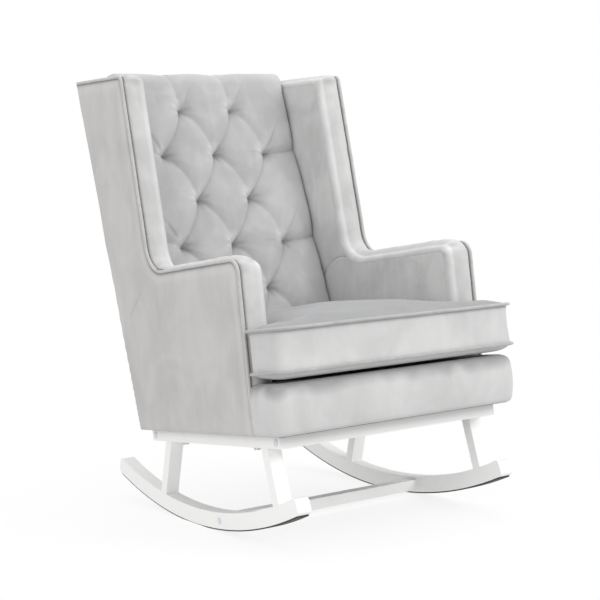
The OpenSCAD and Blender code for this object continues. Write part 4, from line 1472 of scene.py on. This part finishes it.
@dataclass
class Cushion:
    """T-shaped cushion, filled by a cloth simulation between its two lines of piping."""

    shape: SideShape
    level: Level
    finishes: Finishes
    low_z: float = 0.3415
    height: float = 0.0865
    zip_z: float = 0.3815
    front_y: float = -0.297
    ear_half: float = 0.305
    far_ear: float = 0.009
    half: float = 0.2265
    ear_rear_y: float = -0.1995
    rear_y: float = 0.2633
    corner_r: float = 0.022
    front_r: float = 0.034
    piping_r: float = 0.0032
    voxel: float = 0.0065
    pressure: float = 4.0
    crown: float = 0.046
    under: float = 0.0165
    bulge: float = 0.0035
    most: float = 0.034
    most_side: float = 0.006

    def plan(self, grow: float, count: int) -> Array:
        """Outline in plan, grown outward and evenly spaced, its first point repeated at the end."""
        e, h, r, front = self.ear_half + grow, self.half + grow, self.corner_r + grow, self.front_r + grow
        w = e + self.far_ear
        f, q, b = self.front_y - grow, self.ear_rear_y + grow, self.rear_y + grow
        corners = [
            (0.0, f, 0.0), (w, f, front), (w, q, 0.008 + grow), (h, q, max(0.004, 0.012 - grow)), (h, b, r),
            (-h, b, r), (-h, q, max(0.004, 0.012 - grow)), (-e, q, 0.008 + grow), (-e, f, front),
            (0.0, f, 0.0),
        ]
        return resample(fillet(corners, 8), count + 1)

    def build(self) -> None:
        """Makes the cushion and its piping."""
        cushion = self._filled()
        hand_over(cushion, "seat_cushion", "velvet", "cushion_cover", "cushion_core")
        for name, z, seed in (("top", self.low_z + self.height, 13), ("bottom", self.low_z, 17)):
            line = self.plan(self.piping_r * 0.85, 620)[:-1]
            path = np.concatenate([line, np.full((len(line), 1), z)], axis=1)
            path[:, 2] += 0.0007 * cloud(path, 0.05, seed)
            rings = cord_rings(path, self.piping_r, np.array([0, 0, 1.0]), closed=True, seed=seed)
            hand_over(
                tube(
                    f"cushion_{name}_welt", self.level.place(rings), self.finishes["velvet_welt"],
                    closed=True
                ),
                "seat_cushion", "piping_velvet", f"cushion_{name}_piping"
            )

    def _start(self) -> bpy.types.Object:
        """The unfilled cushion: a slightly small T-shaped slab with low crowns, in the chair's frame."""
        count = 240
        rims = []
        levels = (
            (-0.004, -0.030), (-0.001, -0.010), (0.0, 0.0), (self.height, 0.0),
            (self.height + 0.003, -0.010), (self.height + 0.008, -0.035)
        )
        for dz, grow in levels:
            line = self.plan(max(grow, -0.011), count)[:-1]
            rims.append(np.concatenate([line, np.full((count, 1), self.low_z + dz)], axis=1))
        points = np.concatenate(rims)
        faces = grid_faces(len(rims), count, wrap=True)
        faces += [tuple(range(count))[::-1], tuple((len(rims) - 1) * count + j for j in range(count))]
        return make_piece("seat_cushion_cover", points, faces, self.finishes["velvet_cushion"])

    def _filled(self) -> bpy.types.Object:
        """Fills the slab by pressure, held at its piping, then flattens it where it meets the chair."""
        cushion = self._start()
        bpy.context.view_layer.objects.active = cushion
        remesh = cushion.modifiers.new("even_mesh", "REMESH")
        remesh.mode, remesh.voxel_size, remesh.use_smooth_shade = "VOXEL", self.voxel, True
        self._apply(cushion)
        rest = self._read(cushion)
        seam = self.plan(0.0, 900)[:-1]
        rims = [
            np.concatenate([seam, np.full((len(seam), 1), z)], axis=1)
            for z in (self.low_z, self.low_z + self.height)
        ]
        near = np.minimum(distance_to(rest, rims[0]), distance_to(rest, rims[1]))
        held = cushion.vertex_groups.new(name="seams")
        held.add([int(i) for i in np.nonzero(near < self.voxel * 1.1)[0]], 1.0, "REPLACE")
        cloth = cushion.modifiers.new("filling", "CLOTH")
        cloth.settings.use_pressure = True
        cloth.settings.uniform_pressure_force = self.pressure
        cloth.settings.effector_weights.gravity = 0.0
        cloth.settings.quality = 5
        cloth.settings.vertex_group_mass = "seams"
        cloth.settings.tension_stiffness = 12
        cloth.settings.compression_stiffness = 12
        cloth.settings.bending_stiffness = 0.6
        cloth.collision_settings.use_collision = False
        cloth.point_cache.frame_start, cloth.point_cache.frame_end = 1, 20
        for number in range(1, 21):
            bpy.context.scene.frame_set(number)
        self._apply(cushion)
        bpy.context.scene.frame_set(1)
        full = self._read(cushion)
        move = full - rest
        flat = np.linalg.norm(move[:, :2], axis=1)
        log.info(
            "cushion filled: %.1f mm up, %.1f mm down, %.1f mm out", move[:, 2].max() * 1e3,
            -move[:, 2].min() * 1e3, flat.max() * 1e3
        )
        move[:, :2] *= (self.most_side * np.tanh(flat / self.most_side) / np.maximum(flat, 1e-9))[:, None]
        move[:, 2] = np.clip(move[:, 2], -self.most, self.most)
        full = self._shape(rest + move, near)
        cushion.data.vertices.foreach_set("co", self.level.place(full).astype(np.float32).ravel())
        cushion.data.update()
        smooth = cushion.modifiers.new("finer_mesh", "SUBSURF")
        smooth.levels = smooth.render_levels = 1
        self._apply(cushion)
        cushion.data.shade_smooth()
        done = self._read(cushion)
        tall = (
            (done - self.level.place(np.array([0.0, 0.0, self.low_z + self.height])))
            @ np.array([0.0, math.sin(self.level.pitch), math.cos(self.level.pitch)])
        )
        # Painted shade: the whole top darkened, and a dark line just under the top welt.
        paint_lie(
            cushion,
            np.clip(tall / 0.004, 0, 1) * 0.70 + 0.4 * np.exp(-((tall + 0.004) / 0.004) ** 2) * (tall < 0)
        )
        return cushion

    def _shape(self, p: Array, near: Array) -> Array:
        """Adds the crown, the puckers at the seams and the flats where the cushion rests.

        Args:
            p: Points in the chair's frame.
            near: Each point's distance from the nearer seam.

        Returns:
            The shaped points.
        """
        s = self.shape
        top = self.low_z + self.height
        plan = self.plan(0.0, 600)[:-1]
        inside = distance_to(p[:, :2], plan)
        upper = np.clip((p[:, 2] - top + 0.004) / 0.008, 0, 1)
        lift = (
            self.crown * (1 - np.exp(-inside / 0.075))
            * np.clip(1.2 - ((p[:, 1] + 0.06) / 0.30) ** 2, 0.55, 1.2) / 1.12
        )
        swell = np.clip(p[:, 2] - top, 0, self.most)
        p[:, 2] = np.where(upper > 0, p[:, 2] - swell + upper * (0.2 * swell + 0.8 * lift), p[:, 2])
        lower = p[:, 2] < self.low_z + 0.002
        p[:, 2] = np.where(lower, self.low_z - self.under * (1 - np.exp(-inside / 0.016)), p[:, 2])
        p[:, 2] += (
            upper * (1 - np.exp(-inside / 0.03))
            * (0.0022 * cloud(p, 0.12, 91) + 0.0010 * cloud(p, 0.05, 92))
        )
        pull = np.exp(-near / 0.026) * (1 - np.exp(-near / 0.006))
        wave = (
            cloud(p * np.array([1, 1, 0.05]), 0.017, 93)
            + 0.6 * cloud(p * np.array([1, 1, 0.05]), 0.008, 94)
        )
        p[:, 2] += upper * 0.0016 * wave * pull
        edge = self.plan(0.0, 1200)[:-1]
        nearest = np.array([np.argmin(np.linalg.norm(edge - q, axis=1)) for q in p[:, :2]])
        along = np.roll(edge, -1, axis=0) - np.roll(edge, 1, axis=0)
        outward = np.stack([-along[:, 1], along[:, 0]], axis=1)
        outward /= np.linalg.norm(outward, axis=1)[:, None]
        height = np.clip((p[:, 2] - self.low_z) / self.height, 0, 1)
        free = (p[:, 1] < s.arm_front_y - 0.03)
        rise = (
            np.where(free, self.bulge * np.sin(math.pi * height) ** 0.6, 0.0) + 0.0006 * wave * pull
            + 0.0008 * cloud(p, 0.07, 95)
        )
        side = (inside < 0.012) & (p[:, 2] > self.low_z - 0.001) & (p[:, 2] < top + 0.002)
        p[:, :2] = np.where(
            side[:, None], edge[nearest] + outward[nearest] * (rise + 0.001)[:, None], p[:, :2]
        )
        p[:, 2] = np.maximum(p[:, 2], s.base_top + 0.001)
        between = (p[:, 1] > s.arm_front_y - 0.004)
        p[:, 0] = np.where(between, np.clip(p[:, 0], 0.006 - s.inner_face, s.inner_face - 0.006), p[:, 0])
        wide = np.abs(p[:, 0]) > s.inner_face - 0.002
        p[:, 1] = np.where(wide, np.minimum(p[:, 1], s.arm_front_y - 0.0105), p[:, 1])
        p[:, 1] = np.minimum(p[:, 1], self.rear_y + 0.0002)
        return p

    @staticmethod
    def _apply(piece: bpy.types.Object) -> None:
        """Makes a piece's modifiers part of its mesh."""
        graph = bpy.context.evaluated_depsgraph_get()
        mesh = bpy.data.meshes.new_from_object(piece.evaluated_get(graph))
        piece.modifiers.clear()
        old, piece.data = piece.data, mesh
        bpy.data.meshes.remove(old)

    @staticmethod
    def _read(piece: bpy.types.Object) -> Array:
        """The piece's points."""
        flat = np.zeros(len(piece.data.vertices) * 3, np.float32)
        piece.data.vertices.foreach_get("co", flat)
        return flat.reshape(-1, 3).astype(float)


# ---------- Repeated small parts ----------


class Small(Enum):
    """Shape of a small part repeated along a line."""

    STITCH = "GeometryNodeMeshUVSphere"
    STAPLE = "GeometryNodeMeshCylinder"
    TOOTH = "GeometryNodeMeshCube"


@dataclass(frozen=True)
class Repeat:
    """Small parts spaced along a line by a geometry node tree."""

    name: str
    kind: Small
    spacing: float
    size: tuple[float, float, float]
    jitter: float = 0.06
    seed: int = 4

    def tree(self, finish: bpy.types.Material) -> bpy.types.NodeTree:
        """Builds the node tree.

        Args:
            finish: Material of the parts.

        Returns:
            The tree, with its sizes as named inputs.
        """
        tree = bpy.data.node_groups.new(self.name + "_tree", "GeometryNodeTree")
        face = tree.interface
        face.new_socket("Line", in_out="INPUT", socket_type="NodeSocketGeometry")
        for label, kind, value in (
            ("Spacing", "NodeSocketFloat", self.spacing), ("Size", "NodeSocketVector", self.size),
            ("Jitter", "NodeSocketFloat", self.jitter), ("Seed", "NodeSocketInt", self.seed)
        ):
            face.new_socket(label, in_out="INPUT", socket_type=kind).default_value = value
        face.new_socket("Parts", in_out="OUTPUT", socket_type="NodeSocketGeometry")
        w = Wiring(tree)
        given, out = w.add("NodeGroupInput"), w.add("NodeGroupOutput")
        curve = w.add("GeometryNodeMeshToCurve", joins={0: given.outputs["Line"]}).outputs[0]
        points = w.add(
            "GeometryNodeCurveToPoints", joins={"Curve": curve, "Length": given.outputs["Spacing"]},
            mode="LENGTH"
        )
        if self.kind is Small.STITCH:
            part = w.add(self.kind.value, {"Segments": 6, "Rings": 4, "Radius": 0.5}).outputs["Mesh"]
        elif self.kind is Small.STAPLE:
            part = w.add(self.kind.value, {"Vertices": 6, "Radius": 0.5, "Depth": 1.0}).outputs["Mesh"]
        else:
            part = w.add(self.kind.value, {"Size": (1.0, 1.0, 1.0)}).outputs["Mesh"]
        low = w.add(
            "FunctionNodeRandomValue", data_type="FLOAT_VECTOR", joins={"Seed": given.outputs["Seed"]}
        )
        low.inputs[0].default_value, low.inputs[1].default_value = (-1, -1, -1), (1, 1, 1)
        shake = (
            w.add(
                "ShaderNodeVectorMath", operation="SCALE",
                joins={0: low.outputs[0], "Scale": given.outputs["Jitter"]}
            ).outputs[0]
        )
        turn = w.add("FunctionNodeEulerToRotation", joins={0: shake}).outputs[0]
        place = (
            w.add(
                "FunctionNodeRotateRotation", joins={0: points.outputs["Rotation"], 1: turn},
                rotation_space="LOCAL"
            ).outputs[0]
        )
        copies = (
            w.add(
                "GeometryNodeInstanceOnPoints",
                joins={
                    "Points": points.outputs["Points"], "Instance": part, "Rotation": place,
                    "Scale": given.outputs["Size"]
                }
            ).outputs[0]
        )
        real = w.add("GeometryNodeRealizeInstances", joins={0: copies}).outputs[0]
        dressed = w.add("GeometryNodeSetMaterial", {"Material": finish}, {"Geometry": real}).outputs[0]
        tree.links.new(dressed, out.inputs["Parts"])
        return tree

    def along(self, lines: list[Array], finish: bpy.types.Material) -> bpy.types.Object:
        """Makes the parts along lines in the row frame.

        Args:
            lines: Open lines.
            finish: Material of the parts.

        Returns:
            One plain mesh object.
        """
        mesh = bpy.data.meshes.new(self.name + "_line")
        edges, start = [], 0
        for line in lines:
            edges += [(start + i, start + i + 1) for i in range(len(line) - 1)]
            start += len(line)
        mesh.from_pydata(np.concatenate(lines).tolist(), edges, [])
        piece = bpy.data.objects.new(self.name, mesh)
        bpy.context.scene.collection.objects.link(piece)
        tree = self.tree(finish)
        modifier = piece.modifiers.new("repeat", "NODES")
        modifier.node_group = tree
        values = {"Spacing": self.spacing, "Size": self.size, "Jitter": self.jitter, "Seed": self.seed}
        for item in tree.interface.items_tree:
            if item.in_out == "INPUT" and item.name in values:
                modifier[item.identifier] = values[item.name]
        graph = bpy.context.evaluated_depsgraph_get()
        made = bpy.data.meshes.new_from_object(piece.evaluated_get(graph))
        piece.modifiers.clear()
        piece.data = made
        bpy.data.meshes.remove(mesh)
        return piece


@dataclass
class SmallWork:
    """Staples under the seat, stitches down the outer back and teeth of the cushion's zip."""

    shape: SideShape
    level: Level
    finishes: Finishes
    cushion: Cushion
    staples: Repeat = Repeat("dust_cover_staples", Small.STAPLE, 0.042, (0.0009, 0.0009, 0.011))
    stitches: Repeat = Repeat("outer_back_stitches", Small.STITCH, 0.0075, (0.0011, 0.0011, 0.0048), 0.12)
    teeth: Repeat = Repeat("zip_teeth", Small.TOOTH, 0.0021, (0.0016, 0.0026, 0.0011), 0.0)

    def build(self) -> None:
        """Makes the three rows of small parts."""
        s = self.shape
        half, y0, y1, z = (
            s.half_body - 0.022, s.base_front_y + 0.022, s.body_rear_y - 0.022, s.body_z - 0.0016
        )
        ring = [(-half, y0), (half, y0), (half, y1), (-half, y1), (-half, y0)]
        line = resample(np.array([(*p, z) for p in ring]), 400)
        hand_over(
            self.staples.along([self.level.place(line)], self.finishes["zinc_steel"]), "chair", "zinc_steel"
        )
        rows = []
        for x in (-1, 1):
            heights = np.linspace(s.body_z + 0.015, s.wing_rear_z - 0.03, 200)
            rows.append(
                self.level.place(
                    np.stack(
                        [np.full(200, x * (s.half_body - 0.0068)), s.back_y(heights) - 0.0006, heights],
                        axis=1
                    )
                )
            )
        hand_over(self.stitches.along(rows, self.finishes["velvet_piping"]), "chair", "piping_velvet")
        low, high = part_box("cushion_zip")
        c = self.cushion
        y, mid = c.rear_y + 0.0012, c.zip_z
        run = np.linspace(low.x + 0.006, high.x - 0.02, 300)
        line = np.stack([run, np.full(300, y), np.full(300, mid)], axis=1)
        hand_over(
            self.teeth.along([self.level.place(line)], self.finishes["zip_metal"]), "seat_cushion",
            "zip_metal"
        )


# ---------- Packed wooden and hidden pieces ----------


@dataclass
class PackedPieces:
    """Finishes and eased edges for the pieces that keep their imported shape."""

    finishes: Finishes
    ease: float = 0.0014
    cap_ease: float = 0.0006
    painted: tuple[str, ...] = field(default=(
        "left_runner", "right_runner", "front_left_leg", "front_right_leg", "rear_left_leg",
        "rear_right_leg",
        "left_side_rail", "right_side_rail", "front_cross_rail", "rear_cross_rail", "lower_stretcher",
    ))
    capped: tuple[str, ...] = ("bolt_caps",)

    def build(self) -> None:
        """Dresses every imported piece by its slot, and gives the painted and moulded ones eased edges."""
        slots = {part["node"]: part["material_slot"] for part in frame["record"]["subparts"]}
        for name, node in frame["nodes"].items():
            finish = (
                {"velvet": "velvet_side", "piping_velvet": "velvet_piping"}.get(slots[name], slots[name])
            )
            node.data.materials.clear()
            node.data.materials.append(self.finishes[finish])
            if name in self.painted:
                hand_over(self._eased(node, self.ease), "chair", slots[name], name)
            elif name in self.capped:
                hand_over(self._eased(node, self.cap_ease), "chair", slots[name], name)
        log.info("%d packed pieces dressed", len(frame["nodes"]))

    @staticmethod
    def _eased(node: bpy.types.Object, width: float) -> bpy.types.Object:
        """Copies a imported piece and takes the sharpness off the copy's edges.

        Args:
            node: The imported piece, which stays as it is.
            width: Width of the eased edge.

        Returns:
            The copy, a plain mesh.
        """
        mesh = bpy.data.meshes.new(node.name + "_eased")
        work = bmesh.new()
        work.from_mesh(node.data)
        bmesh.ops.remove_doubles(work, verts=work.verts, dist=0.00002)
        bmesh.ops.dissolve_limit(work, angle_limit=math.radians(0.5), verts=work.verts, edges=work.edges)
        sharp = [
            e for e in work.edges if len(e.link_faces) == 2 and e.calc_face_angle(0.0) > math.radians(40)
        ]
        bmesh.ops.bevel(
            work, geom=sharp, offset=width, segments=2, affect="EDGES", profile=0.5, clamp_overlap=True
        )
        bmesh.ops.triangulate(work, faces=work.faces)
        work.to_mesh(mesh)
        work.free()
        mesh.materials.append(node.data.materials[0])
        piece = bpy.data.objects.new(node.name + "_eased", mesh)
        bpy.context.scene.collection.objects.link(piece)
        return piece


# ---------- Room ----------


@dataclass
class Studio:
    """Pale floor, soft lights and the camera."""

    level: Level
    lens: float = 84.27
    azimuth: float = -32.17
    elevation: float = 4.233
    roll: float = -2.972
    place: tuple[float, float, float] = (-1.7088, -2.7638, 0.7190)

    def build(self) -> None:
        """Makes the room."""
        self._camera()
        self._floor()
        self._lights()

    def _camera(self) -> None:
        """Camera at the chair's front, to the sitter's right."""
        camera = bpy.data.objects.new("camera", bpy.data.cameras.new("camera"))
        bpy.context.scene.collection.objects.link(camera)
        a, e = math.radians(self.azimuth), math.radians(self.elevation)
        back = Vector((math.sin(a) * math.cos(e), -math.cos(a) * math.cos(e), math.sin(e)))
        turn = (
            (-back).to_track_quat("-Z", "Y").to_matrix() @ Matrix.Rotation(math.radians(self.roll), 3, "Z")
        )
        camera.matrix_world = Matrix.Translation(Vector(self.place)) @ turn.to_4x4()
        camera.data.lens = self.lens
        camera.data.sensor_width = 36.0
        camera.data.clip_start, camera.data.clip_end = 0.1, 60.0
        bpy.context.scene.camera = camera

    def _floor(self) -> None:
        """Round pale floor that fades into the surroundings."""
        mesh = bpy.data.meshes.new("floor")
        ring = [
            (6 * math.cos(t), 6 * math.sin(t), 0.0) for t in np.linspace(0, 2 * math.pi, 64, endpoint=False)
        ]
        mesh.from_pydata(ring, [], [tuple(range(64))])
        w, shader, place, material = start_material("pale_floor", Roughness=0.9, Specular_IOR_Level=0.1)
        speck = w.noise(place, 40.0)
        w.tree.links.new(w.mix(speck, (0.93, 0.93, 0.93), (0.95, 0.95, 0.95)), shader.inputs["Base Color"])
        far = w.add("ShaderNodeVectorMath", operation="LENGTH", joins={0: place}).outputs["Value"]
        faded = w.maths("SUBTRACT", 1.0, w.ramp(far, 0.3, 1.0))
        w.tree.links.new(w.maths("MULTIPLY", faded, 0.16), shader.inputs["Alpha"])
        mesh.materials.append(material)
        floor = bpy.data.objects.new("floor", mesh)
        bpy.context.scene.collection.objects.link(floor)

    def _lights(self) -> None:
        """Large soft key from the sitter's left front, a fill and bright surroundings."""
        for name, where, size, power in (
            ("key", (1.5, -3.0, 2.3), 2.2, 62.0), ("fill", (-3.0, -1.8, 1.4), 2.6, 29.0),
            ("top", (0.2, 0.4, 3.2), 2.4, 20.0),
        ):
            data = bpy.data.lights.new(name, "AREA")
            data.shape, data.size, data.energy = "DISK", size, power
            light = bpy.data.objects.new(name, data)
            light.location = where
            light.rotation_mode = "QUATERNION"
            light.rotation_quaternion = (Vector((0, 0, 0.5)) - Vector(where)).to_track_quat("-Z", "Y")
            bpy.context.scene.collection.objects.link(light)
        world = bpy.data.worlds.new("surroundings")
        world.use_nodes = True
        w = Wiring(world.node_tree)
        background = world.node_tree.nodes["Background"]
        background.inputs["Color"].default_value = (1, 1, 1, 1)
        seen = w.add("ShaderNodeLightPath").outputs["Is Camera Ray"]
        strength = (
            w.add("ShaderNodeMapRange", {"To Min": 0.80, "To Max": 1.0}, {"Value": seen}).outputs["Result"]
        )
        world.node_tree.links.new(strength, background.inputs["Strength"])
        bpy.context.scene.world = world
        bpy.context.scene.view_settings.view_transform = "Standard"


def main() -> None:
    """Builds the chair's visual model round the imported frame."""
    logging.basicConfig(level=logging.INFO, format="%(name)s: %(message)s")
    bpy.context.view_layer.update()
    level = Level.of_rail(front_y=-0.239, top_z=0.212)
    finishes = Finishes()
    shape = SideShape()
    Studio(level).build()
    PackedPieces(finishes).build()
    for side in Side:
        SideCovers(shape, level, finishes, side).build()
    TuftedBack(shape, level, finishes).build()
    Base(shape, level, finishes).build()
    cushion = Cushion(shape, level, finishes)
    cushion.build()
    SmallWork(shape, level, finishes, cushion).build()


if __name__ == "__main__":
    main()
